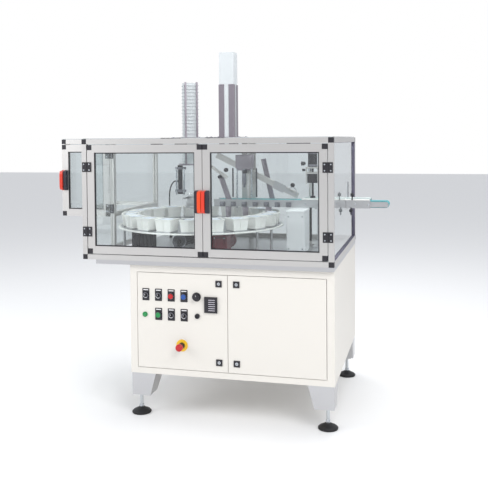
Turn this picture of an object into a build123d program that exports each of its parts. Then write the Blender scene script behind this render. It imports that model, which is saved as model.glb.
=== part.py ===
"""Rotary carton filling machine: a cabinet on levelling feet, a guarded turntable and an outfeed belt.

Millimetres. X runs to the right along the front, Y to the rear, Z up.
The origin is on the floor, at the middle of the four feet.
"""

import math
import os

from build123d import *

os.makedirs("parts", exist_ok=True)

# Feet and legs
foot_inset_x = 40.5
foot_inset_y = 79
foot_pad_radius = 55.5
foot_pad_height = 28
spindle_radius = 10
spindle_reach = 58
leg_top_size = 148
leg_foot_size = 112
leg_wall = 4
leg_drop = 133
leg_inset = 4
leg_plate = 10
lock_nut_flats = 30
lock_nut_height = 16

# Cabinet
cabinet_width = 1203
cabinet_depth = 1114
cabinet_floor_z = 263
cabinet_height = 641
cabinet_shift_x = 9.5
sheet = 2
front_frame_depth = 22
door_margin_side = 45.5
door_margin_top = 46
door_margin_bottom = 37
cabinet_door_gap = 3
cabinet_door_depth = 20
cabinet_seam_x = 1.5
pivot_inset = 3
pivot_pin_radius = 2
pivot_pin_length = 8

# Table plate and guard frame
table_thickness = 25
table_left_overhang = 205
table_setback = 5
bar = 30
groove_depth = 9
pane_seat = 7
joint_gap = 0.2
guard_left_overhang = 286
guard_right_overhang = 1
guard_front_overhang = 30
guard_rear_overhang = 26
guard_height = 710
side_post_setback = 385
side_bay_depth = 336
side_bay_drop = 497
roof_sheet = 4
pane = 5
groove_width = pane

# Framed doors of the guard
panel_depth = 30
lip_width = 15
lip_depth = 12
gasket_width = 6
gasket_thickness = 6
guard_door_gap = 4.5
guard_door_seam = 3
side_door_width = 333
cube_chamfer = 1.5
hinge_leaf_width = 28
hinge_height = 57
hinge_leaf = 5
hinge_knuckle_radius = 4
hinge_pin_radius = 2
hinge_end_distance = 130
handle_width = 41
handle_height = 130
handle_reach = 38
handle_base = 7
handle_side_reach = 30
handle_grip_width = 20
handle_grip_thickness = 9
handle_centre_z = 1278
side_handle_centre_z = 1374

# Turntable
table_offset_x = -190
table_offset_y = -8
disc_margin = 55
disc_thickness = 6
disc_rise = 156
hub_radius = 80
hub_height = 20
table_shaft_radius = 20
table_shaft_length = 55
nest_margin = 75
nest_spacing = 14
nest_first_angle = 9
nest_wall = 3
nest_height = 8
tub_foot = 88
tub_top = 104
tub_height = 78
tub_lip = 110
tub_lip_thickness = 4
tub_lid_recess = 2

# Table drive
drive_box_x = 200
drive_box_y = 200
drive_box_height = 119
drive_flange_radius = 75
front_motor_radius = 38
front_motor_length = 177
side_motor_radius = 47
side_motor_length = 88
rim_post_radius = 8
rim_post_margin = 25
rim_post_angles = (-31, -14, 95, 160, 215)

# Outfeed belt
belt_offset_y = 183
belt_width = 100
belt_thickness = 2
belt_rise = 285
belt_left_offset = 73
belt_overhang = 235
roller_radius = 18
roller_shaft_radius = 5
side_plate = 4
side_plate_drop = 24
side_plate_rise = 23
side_plate_overhang = 140
belt_stand_offset = 753
guide_rail_length = 437
guide_rail_rise = 34
guide_rail_width = 9

# Stations above the belt
magazine_side = 110
carton_magazine_offset = 137
carton_stack_side = 99
carton_stack_rise = 568
carton_rail_rise = 355
carton_rail = 35
carton_flange = 219
carton_flange_depth = 200
tub_magazine_angle = 117
tub_stack_rise = 391
tub_flange = 220
tub_flange_depth = 200
magazine_drop = 79
tub_magazine_drop = 177
beam_spacing = 210
hanger_beam_offset = 303
rail_start_offset = 55
rail_start_rise = 313
rail_end_offset = 603
rail_end_rise = 47
rail_width = 26
rail_thickness = 36
hanger_width = 38
hanger_thickness = 12
press_offset = 701
press_cylinder_radius = 30
press_bottom_rise = 236
press_cylinder_length = 100
press_column_radius = 8
press_column_spacing = 60
press_rod_radius = 6.5
press_guide_radius = 4
press_guide_spacing = 76
press_stroke = 40

# Fits and clearances
running_fit = 0.05
seat_gap = 0.3
body_gap = 0.5

# Places worked out from the sizes above
foot_x = cabinet_width / 2 - foot_inset_x
foot_y = cabinet_depth / 2 - foot_inset_y
leg_foot_z = cabinet_floor_z - leg_drop
spindle_top = cabinet_floor_z - spindle_reach
cabinet_left = cabinet_shift_x - cabinet_width / 2
cabinet_right = cabinet_shift_x + cabinet_width / 2
cabinet_front = -cabinet_depth / 2
cabinet_rear = cabinet_depth / 2
cabinet_top = cabinet_floor_z + cabinet_height
table_z = cabinet_top + table_thickness
guard_left = cabinet_left - guard_left_overhang
guard_right = cabinet_right + guard_right_overhang
guard_front_y = cabinet_front - guard_front_overhang
guard_rear_y = cabinet_rear + guard_rear_overhang
guard_width = guard_right - guard_left
guard_depth = guard_rear_y - guard_front_y
guard_centre_x = (guard_left + guard_right) / 2
guard_centre_y = (guard_front_y + guard_rear_y) / 2
guard_top = table_z + guard_height
left_x = guard_left + bar / 2
right_x = guard_right - bar / 2
front_y = guard_front_y + bar / 2
rear_y = guard_rear_y - bar / 2
low_z = table_z + bar / 2
high_z = guard_top - bar / 2
side_post_y = guard_front_y + side_post_setback + bar / 2
bay_left = guard_left - side_bay_depth
bay_x = bay_left + bar / 2
bay_floor_z = guard_top - side_bay_drop
bay_rail_z = bay_floor_z + bar / 2
bay_post_y = side_post_y + bar + 3
table_centre_x = guard_centre_x + table_offset_x
table_centre_y = guard_centre_y + table_offset_y
disc_radius = guard_depth / 2 - disc_margin
nest_radius = disc_radius - nest_margin
nest_count = int(2 * math.pi * (nest_radius - tub_lip / 2) / (tub_lip + nest_spacing))
rim_post_circle = disc_radius - rim_post_margin
disc_top_z = table_z + disc_rise
belt_centre_y = table_centre_y + belt_offset_y
belt_axis_z = table_z + belt_rise
belt_left_x = table_centre_x + belt_left_offset
belt_right_x = guard_right + belt_overhang
side_plate_bottom_z = belt_axis_z - side_plate_drop
side_plate_top_z = belt_axis_z + side_plate_rise
side_plate_end_x = guard_right + side_plate_overhang
belt_stand_x = table_centre_x + belt_stand_offset
carton_magazine_x = table_centre_x + carton_magazine_offset
carton_magazine_y = belt_centre_y
carton_stack_top_z = guard_top + carton_stack_rise
carton_rail_top_z = guard_top + carton_rail_rise
tub_stack_top_z = guard_top + tub_stack_rise
magazine_foot_z = guard_top - magazine_drop
tub_magazine_foot_z = guard_top - tub_magazine_drop
hanger_beam_x = table_centre_x + hanger_beam_offset
rail_start_x = table_centre_x + rail_start_offset
rail_start_z = belt_axis_z + rail_start_rise
rail_end_x = table_centre_x + rail_end_offset
rail_end_z = belt_axis_z + rail_end_rise
press_x = table_centre_x + press_offset
press_bottom_z = belt_axis_z + press_bottom_rise
tub_magazine_x = table_centre_x + nest_radius * math.cos(math.radians(tub_magazine_angle))
tub_magazine_y = table_centre_y + nest_radius * math.sin(math.radians(tub_magazine_angle))
roof_top = guard_top + roof_sheet
disc_z = disc_top_z - disc_thickness
nodes = []


def finish(built, name):
    """Labels a finished piece and writes it."""
    built.part.label = name
    export_step(built.part, f"parts/{name}.step")
    nodes.append(name)


def bar_section(plane, grooves, size=bar):
    """Section of the frame profile, with a pane groove on each side in grooves."""
    with BuildSketch(plane) as section:
        Rectangle(size, size)
        for across, up in grooves:
            reach = size / 2 - groove_depth / 2
            with Locations((across * reach, up * reach)):
                wide = groove_depth if across else groove_width
                tall = groove_depth if up else groove_width
                Rectangle(wide, tall, mode=Mode.SUBTRACT)
    return section.sketch


def bar_x(x0, x1, y, z, grooves=()):
    """A bar along X. Its section lies in Y and Z."""
    plane = Plane(origin=(x0, y, z), x_dir=(0, 1, 0), z_dir=(1, 0, 0))
    return extrude(bar_section(plane, grooves), amount=x1 - x0)


def bar_y(y0, y1, x, z, grooves=()):
    """A bar along Y. Its section lies in Z and X."""
    plane = Plane(origin=(x, y0, z), x_dir=(0, 0, 1), z_dir=(0, 1, 0))
    return extrude(bar_section(plane, grooves), amount=y1 - y0)


def bar_z(z0, z1, x, y, grooves=()):
    """A bar along Z. Its section lies in X and Y."""
    plane = Plane(origin=(x, y, z0), x_dir=(1, 0, 0), z_dir=(0, 0, 1))
    return extrude(bar_section(plane, grooves), amount=z1 - z0)


def block(x0, x1, y0, y1, z0, z1, mode=Mode.ADD):
    """A rectangular piece between two corners, drawn in plan."""
    with BuildSketch(Plane.XY.offset(z0)) as plan:
        with Locations(((x0 + x1) / 2, (y0 + y1) / 2)):
            Rectangle(x1 - x0, y1 - y0)
    return extrude(plan.sketch, amount=z1 - z0, mode=mode)


def rod_z(x, y, z0, z1, radius, mode=Mode.ADD):
    """An upright rod."""
    with BuildSketch(Plane.XY.offset(z0)) as plan:
        with Locations((x, y)):
            Circle(radius)
    return extrude(plan.sketch, amount=z1 - z0, mode=mode)


# Feet: one turned piece each, pad, neck and spindle
foot_places = {
    "foot_front_left": (-foot_x, -foot_y),
    "foot_front_right": (foot_x, -foot_y),
    "foot_rear_left": (-foot_x, foot_y),
    "foot_rear_right": (foot_x, foot_y),
}
for foot_name, (fx, fy) in foot_places.items():
    with BuildPart() as foot:
        with BuildSketch(Plane(origin=(fx, fy, 0), x_dir=(1, 0, 0), z_dir=(0, -1, 0))):
            with BuildLine():
                Polyline(
                    (0, 0),
                    (foot_pad_radius, 0),
                    (foot_pad_radius, foot_pad_height * 0.35),
                    (foot_pad_radius - 6, foot_pad_height * 0.55),
                    (spindle_radius * 2.4, foot_pad_height),
                    (spindle_radius * 1.5, foot_pad_height + 8),
                    (spindle_radius, foot_pad_height + 12),
                    (spindle_radius, spindle_top),
                    (0, spindle_top),
                    close=True,
                )
            make_face()
        revolve(axis=Axis((fx, fy, 0), (0, 0, 1)))
    finish(foot, foot_name)

# Legs: tapered sheet stubs with a foot plate and a lock nut for the spindle
with BuildPart() as legs:
    for side_x in (-1, 1):
        for side_y in (-1, 1):
            corner_x = cabinet_shift_x + side_x * (cabinet_width / 2 - leg_inset)
            corner_y = side_y * (cabinet_depth / 2 - leg_inset)

            def leg_centre(size):
                return (corner_x - side_x * size / 2, corner_y - side_y * size / 2)

            def leg_stage(z, size, inset):
                with BuildSketch(Plane.XY.offset(z)) as stage:
                    with Locations(leg_centre(size)):
                        Rectangle(size - 2 * inset, size - 2 * inset)
                return stage.sketch

            loft([leg_stage(leg_foot_z, leg_foot_size, 0), leg_stage(cabinet_floor_z, leg_top_size, 0)])
            loft(
                [
                    leg_stage(leg_foot_z + leg_plate, leg_foot_size, leg_wall),
                    leg_stage(cabinet_floor_z, leg_top_size, leg_wall),
                ],
                mode=Mode.SUBTRACT,
            )
            with BuildSketch(Plane.XY.offset(leg_foot_z - lock_nut_height)):
                with Locations((side_x * foot_x, side_y * foot_y)):
                    RegularPolygon(lock_nut_flats / 2, 6, major_radius=False)
            extrude(amount=lock_nut_height)
            with BuildSketch(Plane.XY.offset(leg_foot_z - lock_nut_height)):
                with Locations((side_x * foot_x, side_y * foot_y)):
                    Circle(spindle_radius + running_fit)
            extrude(amount=lock_nut_height + leg_plate, mode=Mode.SUBTRACT)
finish(legs, "legs")

# Cabinet: sheet casing with a folded front frame and pivot holes
door_left_x = cabinet_left + door_margin_side
door_right_x = cabinet_right - door_margin_side
door_low_z = cabinet_floor_z + door_margin_bottom
door_high_z = cabinet_top - door_margin_top
pivot_y = cabinet_front + pivot_inset
with BuildPart() as cabinet:
    block(cabinet_left, cabinet_right, cabinet_front, cabinet_rear, cabinet_floor_z, cabinet_top)
    with BuildSketch(Plane.XY.offset(cabinet_floor_z + sheet)):
        with Locations((cabinet_shift_x, 0)):
            Rectangle(cabinet_width - 2 * sheet, cabinet_depth - 2 * sheet)
    extrude(amount=cabinet_height - 2 * sheet, mode=Mode.SUBTRACT)
    frame_centre = ((door_left_x + door_right_x) / 2, (door_low_z + door_high_z) / 2)
    opening_width = door_right_x - door_left_x + 2 * cabinet_door_gap
    opening_height = door_high_z - door_low_z + 2 * cabinet_door_gap
    with BuildSketch(Plane.XZ.offset(-cabinet_front)):
        with Locations(frame_centre):
            Rectangle(opening_width + 2 * sheet, opening_height + 2 * sheet)
    extrude(amount=-front_frame_depth)
    with BuildSketch(Plane.XZ.offset(-cabinet_front)):
        with Locations(frame_centre):
            Rectangle(opening_width, opening_height)
    extrude(amount=-front_frame_depth, mode=Mode.SUBTRACT)
    for pivot_x in (door_left_x + pivot_inset, door_right_x - pivot_inset):
        for hole_z in (door_low_z - cabinet_door_gap - pivot_pin_length, door_high_z + cabinet_door_gap):
            with BuildSketch(Plane.XY.offset(hole_z)):
                with Locations((pivot_x, pivot_y)):
                    Circle(pivot_pin_radius + running_fit)
            extrude(amount=pivot_pin_length, mode=Mode.SUBTRACT)
finish(cabinet, "cabinet_shell")

# Control places on the left door, as (x, z)
panel_pitch = (cabinet_seam_x - door_left_x) / 7
column_x = [door_left_x + (0.67 + column) * panel_pitch for column in range(6)]
upper_row_z = door_high_z - 128
lower_row_z = door_high_z - 240
selector_places = {
    "selector_one": (column_x[0], upper_row_z),
    "selector_two": (column_x[1], upper_row_z),
    "selector_three": (column_x[2], lower_row_z),
    "selector_four": (column_x[3], lower_row_z),
}
button_places = {
    "button_red": (column_x[2], upper_row_z),
    "button_blue": (column_x[3], upper_row_z),
    "button_green": (column_x[1], lower_row_z),
}
knob_place = (column_x[4] - 2, upper_row_z - 2)
lamp_place = (column_x[0] - 6, lower_row_z - 6)
socket_place = (column_x[4] + 2, lower_row_z - 1)
meter_place = (column_x[5] + 5, (upper_row_z + lower_row_z) / 2 + 11)
estop_place = ((column_x[2] + column_x[3]) / 2 + 24, door_low_z + 141)
lock_offset_x = 52
lock_low_z = door_low_z + 55
lock_high_z = door_high_z - 50
plate_width = 43
plate_height = 71
plate_thickness = 2
actuator_drop = 4
actuator_radius = 11
bezel_radius = 16
bezel_height = 6
fixing_nut_height = 6
lock_barrel_radius = 9
lock_housing = 34
lock_housing_height = 3
door_skin_back = cabinet_front + sheet


def front_disc(x, z, y0, y1, radius):
    """A round piece along Y from y0 back to y1."""
    with BuildSketch(Plane(origin=(x, y0, z), x_dir=(1, 0, 0), z_dir=(0, 1, 0))) as face:
        Circle(radius)
    return extrude(face.sketch, amount=y1 - y0)


def front_holes(places, radius, y0, y1):
    """Round holes along Y from y0 back to y1, cut from the part in hand."""
    for x, z in places:
        with BuildSketch(Plane(origin=(x, y0, z), x_dir=(1, 0, 0), z_dir=(0, 1, 0))) as face:
            Circle(radius)
        extrude(face.sketch, amount=y1 - y0, mode=Mode.SUBTRACT)


def lowered(place):
    """The actuator's centre in a legend plate."""
    return (place[0], place[1] - actuator_drop)


def lock_housings(lock_x):
    """Square lock housings on a door's face."""
    for z in (lock_low_z, lock_high_z):
        with BuildSketch(Plane.XZ.offset(-cabinet_front)) as housing:
            with Locations((lock_x, z)):
                RectangleRounded(lock_housing, lock_housing, 4)
                Circle(lock_barrel_radius + running_fit, mode=Mode.SUBTRACT)
        extrude(housing.sketch, amount=lock_housing_height)


def cabinet_door(x0, x1, pivot_x, small_holes, lock_x):
    """A sheet pan door with its pivot pins and lock holes."""
    z0, z1 = door_low_z, door_high_z
    with BuildPart() as door:
        block(x0, x1, cabinet_front, cabinet_front + cabinet_door_depth, z0, z1)
        with BuildSketch(Plane.XZ.offset(-door_skin_back)):
            with Locations(((x0 + x1) / 2, (z0 + z1) / 2)):
                Rectangle(x1 - x0 - 2 * sheet, z1 - z0 - 2 * sheet)
        extrude(amount=-cabinet_door_depth, mode=Mode.SUBTRACT)
        for boss_z in (z0, z1 - pivot_pin_length):
            rod_z(pivot_x, pivot_y, boss_z, boss_z + pivot_pin_length, pivot_inset)
        pin_reach = cabinet_door_gap + pivot_pin_length - seat_gap
        rod_z(pivot_x, pivot_y, z0 - pin_reach, z0, pivot_pin_radius)
        rod_z(pivot_x, pivot_y, z1, z1 + pin_reach, pivot_pin_radius)
        for hole_radius, places in small_holes:
            front_holes(places, hole_radius, cabinet_front, door_skin_back)
        lock_places = [(lock_x, lock_low_z), (lock_x, lock_high_z)]
        lock_housings(lock_x)
        front_holes(lock_places, lock_barrel_radius + running_fit, cabinet_front, door_skin_back)
    return door


left_holes = [
    (
        actuator_radius + running_fit,
        [lowered(p) for p in (*selector_places.values(), *button_places.values())] + [estop_place, lamp_place],
    ),
    (6 + running_fit, [knob_place]),
]
left_door = cabinet_door(
    door_left_x,
    cabinet_seam_x - cabinet_door_gap / 2,
    door_left_x + pivot_inset,
    left_holes,
    cabinet_seam_x - lock_offset_x,
)
finish(left_door, "cabinet_door_left")
right_door = cabinet_door(
    cabinet_seam_x + cabinet_door_gap / 2,
    door_right_x,
    door_right_x - pivot_inset,
    [],
    cabinet_seam_x + lock_offset_x,
)
finish(right_door, "cabinet_door_right")


# Black fittings of the control panel: legend plates, bezels, fixing nuts, socket and display
with BuildPart() as panel_fittings:
    for place in (*selector_places.values(), *button_places.values()):
        centre = lowered(place)
        with BuildSketch(Plane.XZ.offset(-cabinet_front)):
            with Locations(place):
                RectangleRounded(plate_width, plate_height, 3)
            with Locations(centre):
                Circle(actuator_radius + running_fit, mode=Mode.SUBTRACT)
        extrude(amount=plate_thickness)
        with BuildSketch(Plane.XZ.offset(-cabinet_front + plate_thickness)):
            with Locations(centre):
                Circle(bezel_radius)
                Circle(actuator_radius + running_fit, mode=Mode.SUBTRACT)
        extrude(amount=bezel_height)
        with BuildSketch(Plane.XZ.offset(-door_skin_back)):
            with Locations(centre):
                Circle(bezel_radius - 1)
                Circle(actuator_radius + running_fit, mode=Mode.SUBTRACT)
        extrude(amount=-fixing_nut_height)
    front_disc(*socket_place, cabinet_front - 9, cabinet_front, 14.5)
    front_holes([socket_place], 9, cabinet_front - 9, cabinet_front - 4)
    meter_x, meter_z = meter_place
    block(meter_x - 37, meter_x + 37, cabinet_front - 12, cabinet_front, meter_z - 44, meter_z + 44)
    for row in range(6):
        with BuildSketch(Plane.XZ.offset(-cabinet_front + 12)):
            with Locations((meter_x + 7, meter_z + 30 - row * 12)):
                Rectangle(40, 4)
        extrude(amount=-2, mode=Mode.SUBTRACT)
finish(panel_fittings, "panel_fittings")

# Quarter turn locks: barrel, shaft and a short cam, drawn with the cam upright
lock_places = {
    "lock_left_lower": (cabinet_seam_x - lock_offset_x, lock_low_z),
    "lock_left_upper": (cabinet_seam_x - lock_offset_x, lock_high_z),
    "lock_right_lower": (cabinet_seam_x + lock_offset_x, lock_low_z),
    "lock_right_upper": (cabinet_seam_x + lock_offset_x, lock_high_z),
}
cam_y = cabinet_front + cabinet_door_depth + 3
cam_reach = 30
for lock_name, (lx, lz) in lock_places.items():
    with BuildPart() as lock:
        front_disc(lx, lz, cabinet_front - lock_housing_height - 1, door_skin_back + 4, lock_barrel_radius)
        with BuildSketch(Plane.XZ.offset(-cabinet_front + lock_housing_height + 1)):
            with Locations((lx, lz)):
                Rectangle(8, 3)
        extrude(amount=-3, mode=Mode.SUBTRACT)
        front_disc(lx, lz, door_skin_back, cam_y + 3, 5)
        with BuildSketch(Plane.XZ.offset(-cam_y)):
            with Locations((lx, lz + cam_reach / 2)):
                SlotCenterToCenter(cam_reach - 14, 14, rotation=90)
            with Locations((lx, lz)):
                Circle(8)
        extrude(amount=-3)
    finish(lock, lock_name)

# Selectors: a round stem with a raised grip across its face
for selector_name, place in selector_places.items():
    sx, sz = lowered(place)
    face_y = cabinet_front - plate_thickness - bezel_height
    back_y = door_skin_back + fixing_nut_height + seat_gap
    with BuildPart() as selector:
        front_disc(sx, sz, face_y - 2, back_y + 2, actuator_radius)
        front_disc(sx, sz, back_y, back_y + 2, actuator_radius + 2)
        with BuildSketch(Plane.XZ.offset(-face_y + 2)):
            with Locations((sx, sz)):
                SlotOverall(2 * actuator_radius - 1, 7, rotation=90)
        extrude(amount=10, taper=4)
    finish(selector, selector_name)

# Push buttons: a stem with a rounded cap
for button_name, place in button_places.items():
    bx, bz = lowered(place)
    face_y = cabinet_front - plate_thickness - bezel_height
    back_y = door_skin_back + fixing_nut_height + seat_gap
    with BuildPart() as button:
        front_disc(bx, bz, face_y - 6, back_y + 2, actuator_radius)
        chamfer(button.edges().group_by(Axis.Y)[0], 1.5)
        front_disc(bx, bz, back_y, back_y + 2, actuator_radius + 2)
    finish(button, button_name)

# Speed knob: a skirted knob on its spindle
with BuildPart() as knob:
    kx, kz = knob_place
    knob_back = cabinet_front - body_gap
    with BuildSketch(Plane(origin=(kx, knob_back, kz), x_dir=(1, 0, 0), z_dir=(0, -1, 0))):
        Circle(24)
    extrude(amount=5)
    with BuildSketch(Plane(origin=(kx, knob_back - 5, kz), x_dir=(1, 0, 0), z_dir=(0, -1, 0))):
        RegularPolygon(20, 16)
    extrude(amount=19, taper=4)
    front_disc(kx, kz, knob_back, door_skin_back + 12, 6)
    front_disc(kx, kz, door_skin_back + seat_gap, door_skin_back + 4, 10)
finish(knob, "speed_knob")

# Pilot lamp: a domed lens in its rim, fixed in the door
with BuildPart() as lamp:
    px, pz = lamp_place
    front_disc(px, pz, cabinet_front - 4, cabinet_front, 14.5)
    front_disc(px, pz, cabinet_front - 10, door_skin_back + 14, actuator_radius)
    chamfer(lamp.edges().group_by(Axis.Y)[0], 3)
finish(lamp, "pilot_lamp")

# Emergency stop: a round yellow backing plate with a collar, and a mushroom button that slides in it
collar_front = cabinet_front - 34
with BuildPart() as estop_plate:
    ex, ez = estop_place
    front_disc(ex, ez, cabinet_front - 2, cabinet_front, 33)
    front_disc(ex, ez, collar_front, cabinet_front, 17)
    front_holes([estop_place], actuator_radius + running_fit, collar_front, cabinet_front)
finish(estop_plate, "estop_plate")
with BuildPart() as estop:
    estop_front = cabinet_front - 62
    head_back = collar_front - 8
    with BuildSketch(Plane(origin=(ex, head_back, ez), x_dir=(1, 0, 0), z_dir=(0, -1, 0))):
        Circle(20.5)
    extrude(amount=head_back - estop_front)
    chamfer(estop.edges().group_by(Axis.Y)[0], 5)
    front_disc(ex, ez, head_back, door_skin_back + 10, actuator_radius)
    front_disc(ex, ez, door_skin_back + seat_gap, door_skin_back + 4, actuator_radius + 2)
finish(estop, "estop_button")

# Electrical mounting plate inside the cabinet, with its devices and wiring ducts
with BuildPart() as electrics:
    plate_y = cabinet_rear - sheet - 40
    plate_left = -480
    plate_right = 500
    block(plate_left, plate_right, plate_y, plate_y + 3, cabinet_floor_z + sheet, cabinet_floor_z + 520)
    for foot_x0 in (plate_left, plate_right - 30):
        block(foot_x0, foot_x0 + 30, plate_y + 3, cabinet_rear - sheet, cabinet_floor_z + sheet, cabinet_floor_z + 32)
    for duct_z in (320, 480, 640):
        block(plate_left + 20, plate_right - 20, plate_y - 60, plate_y, duct_z, duct_z + 40)
    rows = (
        (385, (90, 90, 120, 60, 90, 90, 120, 60, 120)),
        (545, (45, 45, 45, 45, 90, 90, 45, 45, 120, 90, 90, 90)),
        (700, (160, 70, 110, 160, 70, 110, 160)),
    )
    for row_z, widths in rows:
        x_next = plate_left + 30
        for device_width in widths:
            block(x_next, x_next + device_width - 4, plate_y - 85, plate_y, row_z, row_z + 70)
            x_next += device_width
finish(electrics, "electrical_plate")

# Table plate over the cabinet
with BuildPart() as table:
    block(
        cabinet_left - table_left_overhang,
        cabinet_right,
        guard_front_y + table_setback,
        guard_rear_y - table_setback,
        cabinet_top,
        table_z,
    )
finish(table, "table_plate")

# Guard frame: profile bars that butt on corner cubes or, with a hairline joint, on each other
beam_places = [
    tub_magazine_x - beam_spacing / 2,
    tub_magazine_x + beam_spacing / 2,
    carton_magazine_x - beam_spacing / 2,
    carton_magazine_x + beam_spacing / 2,
    hanger_beam_x,
]
x_in = (left_x + bar / 2, right_x - bar / 2)
y_in = (front_y + bar / 2, rear_y - bar / 2)
z_in = (low_z + bar / 2, high_z - bar / 2)
butt_z = (z_in[0] + joint_gap, z_in[1] - joint_gap)


def framed_bars(front, width, height):
    """Lipped bars of a framed panel, whose lower left corner is the plane's origin."""
    with BuildSketch(front.offset(-panel_depth)) as bodies:
        with Locations((bar / 2, height / 2), (width - bar / 2, height / 2)):
            Rectangle(bar, height - 2 * bar - 2 * joint_gap)
        with Locations((width / 2, bar / 2), (width / 2, height - bar / 2)):
            Rectangle(width - 2 * bar - 2 * joint_gap, bar)
    extrude(bodies.sketch, amount=panel_depth)
    edge = bar + lip_width / 2
    with BuildSketch(front.offset(-lip_depth)) as lips:
        with Locations((edge, height / 2), (width - edge, height / 2)):
            Rectangle(lip_width, height - 2 * bar - 2 * joint_gap)
        inner = width - 2 * bar - 2 * lip_width - 2 * joint_gap
        with Locations((width / 2, edge), (width / 2, height - edge)):
            Rectangle(inner, lip_width)
    extrude(lips.sketch, amount=lip_depth)
    with BuildSketch(front.offset(-panel_depth)) as grooves:
        with Locations((bar / 2, height / 2), (width - bar / 2, height / 2)):
            Rectangle(groove_width, height - 2 * bar)
        with Locations((width / 2, bar / 2), (width / 2, height - bar / 2)):
            Rectangle(width - 2 * bar, groove_width)
    extrude(grooves.sketch, amount=groove_depth, mode=Mode.SUBTRACT)


def panel_pane(front, width, height):
    """The pane of a framed panel, behind the lips."""
    with BuildSketch(front.offset(-lip_depth - pane)) as sheet_outline:
        with Locations((width / 2, height / 2)):
            Rectangle(width - 2 * bar - 2 * body_gap, height - 2 * bar - 2 * body_gap)
    return extrude(sheet_outline.sketch, amount=pane)


def panel_gasket(front, width, height):
    """The gasket ring between the lips and the pane."""
    rim = bar + lip_width
    with BuildSketch(front.offset(-lip_depth)) as ring:
        with Locations((width / 2, height / 2)):
            Rectangle(width - 2 * rim, height - 2 * rim)
            inner = 2 * rim + 2 * gasket_width
            Rectangle(width - inner, height - inner, mode=Mode.SUBTRACT)
    return extrude(ring.sketch, amount=gasket_thickness)


def corner_cube(x, y, z):
    """A black corner cube with chamfered upright edges, centred at the place."""
    half = bar / 2 - cube_chamfer
    outline = [(-half - cube_chamfer, -half), (-half, -half - cube_chamfer), (half, -half - cube_chamfer)]
    outline += [(half + cube_chamfer, -half), (half + cube_chamfer, half), (half, half + cube_chamfer)]
    outline += [(-half, half + cube_chamfer), (-half - cube_chamfer, half)]
    with BuildSketch(Plane(origin=(x, y, z - bar / 2), x_dir=(1, 0, 0), z_dir=(0, 0, 1))) as section:
        with BuildLine():
            Polyline(*outline, close=True)
        make_face()
    return extrude(section.sketch, amount=bar)


with BuildPart() as guard_frame:
    bar_z(*z_in, left_x, front_y, [(0, 1)])
    bar_z(*z_in, right_x, front_y, [(0, 1)])
    bar_z(*z_in, left_x, rear_y, [(1, 0), (-1, 0), (0, -1)])
    bar_z(*z_in, right_x, rear_y, [(-1, 0), (0, -1)])
    bar_z(*butt_z, left_x, side_post_y, [(0, 1), (0, -1)])
    bar_z(*butt_z, guard_centre_x, rear_y, [(1, 0), (-1, 0)])
    for rail_z in (low_z, high_z):
        for rail_y_place in (front_y, rear_y):
            bar_x(*x_in, rail_y_place, rail_z)
        for rail_x_place in (left_x, right_x):
            bar_y(*y_in, rail_x_place, rail_z)
    for beam_x in beam_places:
        bar_y(y_in[0] + joint_gap, y_in[1] - joint_gap, beam_x, high_z)
    bar_x(bay_x + bar / 2, guard_left - joint_gap, side_post_y, high_z)
    bar_x(bay_x + bar / 2, guard_left - joint_gap, rear_y, high_z)
    bar_y(side_post_y + bar / 2, y_in[1], bay_x, high_z)
    bar_z(bay_floor_z, high_z - bar / 2 - joint_gap, bay_x, bay_post_y, [(0, 1)])
    bar_z(bay_rail_z + bar / 2, high_z - bar / 2, bay_x, rear_y, [(1, 0), (0, -1)])
    bar_y(bay_post_y + bar / 2 + joint_gap, y_in[1], bay_x, bay_rail_z)
    bar_y(side_post_y + bar / 2 + joint_gap, y_in[1] - joint_gap, left_x, bay_rail_z)
    bar_x(bay_x + bar / 2, guard_left - joint_gap, rear_y, bay_rail_z, [(-1, 0)])
    bar_x(bay_x + bar / 2 + joint_gap, guard_left - joint_gap, bay_post_y, bay_rail_z, [(1, 0)])
finish(guard_frame, "guard_profiles")

# Fixed panes of the guard, notched for the side door's hinges
side_front_y = side_post_y - bar / 2
side_door_low = bay_floor_z
side_door_height = z_in[1] - guard_door_gap - side_door_low
side_hinge_z = [side_door_low + 50, side_door_low + side_door_height - 62]
hinge_notch = hinge_height / 2 + 1
with BuildPart() as panes:
    block(
        left_x - pane / 2,
        left_x + pane / 2,
        y_in[0] - pane_seat,
        side_post_y - bar / 2 + pane_seat,
        z_in[0] + joint_gap,
        z_in[1] - joint_gap,
    )
    for notch_z in side_hinge_z:
        block(
            guard_left,
            guard_left + bar,
            side_front_y - hinge_leaf - 1,
            side_front_y + bar,
            notch_z - hinge_notch,
            notch_z + hinge_notch,
            mode=Mode.SUBTRACT,
        )
    rear_slab = (rear_y - pane / 2, rear_y + pane / 2)
    for pane_x0, pane_x1 in ((x_in[0], guard_centre_x - bar / 2), (guard_centre_x + bar / 2, x_in[1])):
        block(pane_x0 - pane_seat, pane_x1 + pane_seat, *rear_slab, z_in[0] + joint_gap, z_in[1] - joint_gap)
    block(
        left_x - pane / 2,
        left_x + pane / 2,
        side_post_y + bar / 2 - pane_seat,
        y_in[1] + pane_seat,
        z_in[0] + joint_gap,
        bay_floor_z - joint_gap,
    )
    bay_in = (bay_left + bar + joint_gap, guard_left - joint_gap)
    bay_z = (bay_floor_z + bar + joint_gap, z_in[1] - joint_gap)
    block(bay_left + bar - pane_seat, guard_left + pane_seat, *rear_slab, *bay_z)
    bay_y = (bay_post_y + bar / 2 - pane_seat, y_in[1] + pane_seat)
    block(bay_x - pane / 2, bay_x + pane / 2, *bay_y, *bay_z)
    block(*bay_in, *bay_y, bay_rail_z - pane / 2, bay_rail_z + pane / 2)
    block(bay_left + 6, guard_left - 1, side_post_y - 9, guard_rear_y - 6, guard_top, roof_top)
finish(panes, "fixed_panes")

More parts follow.
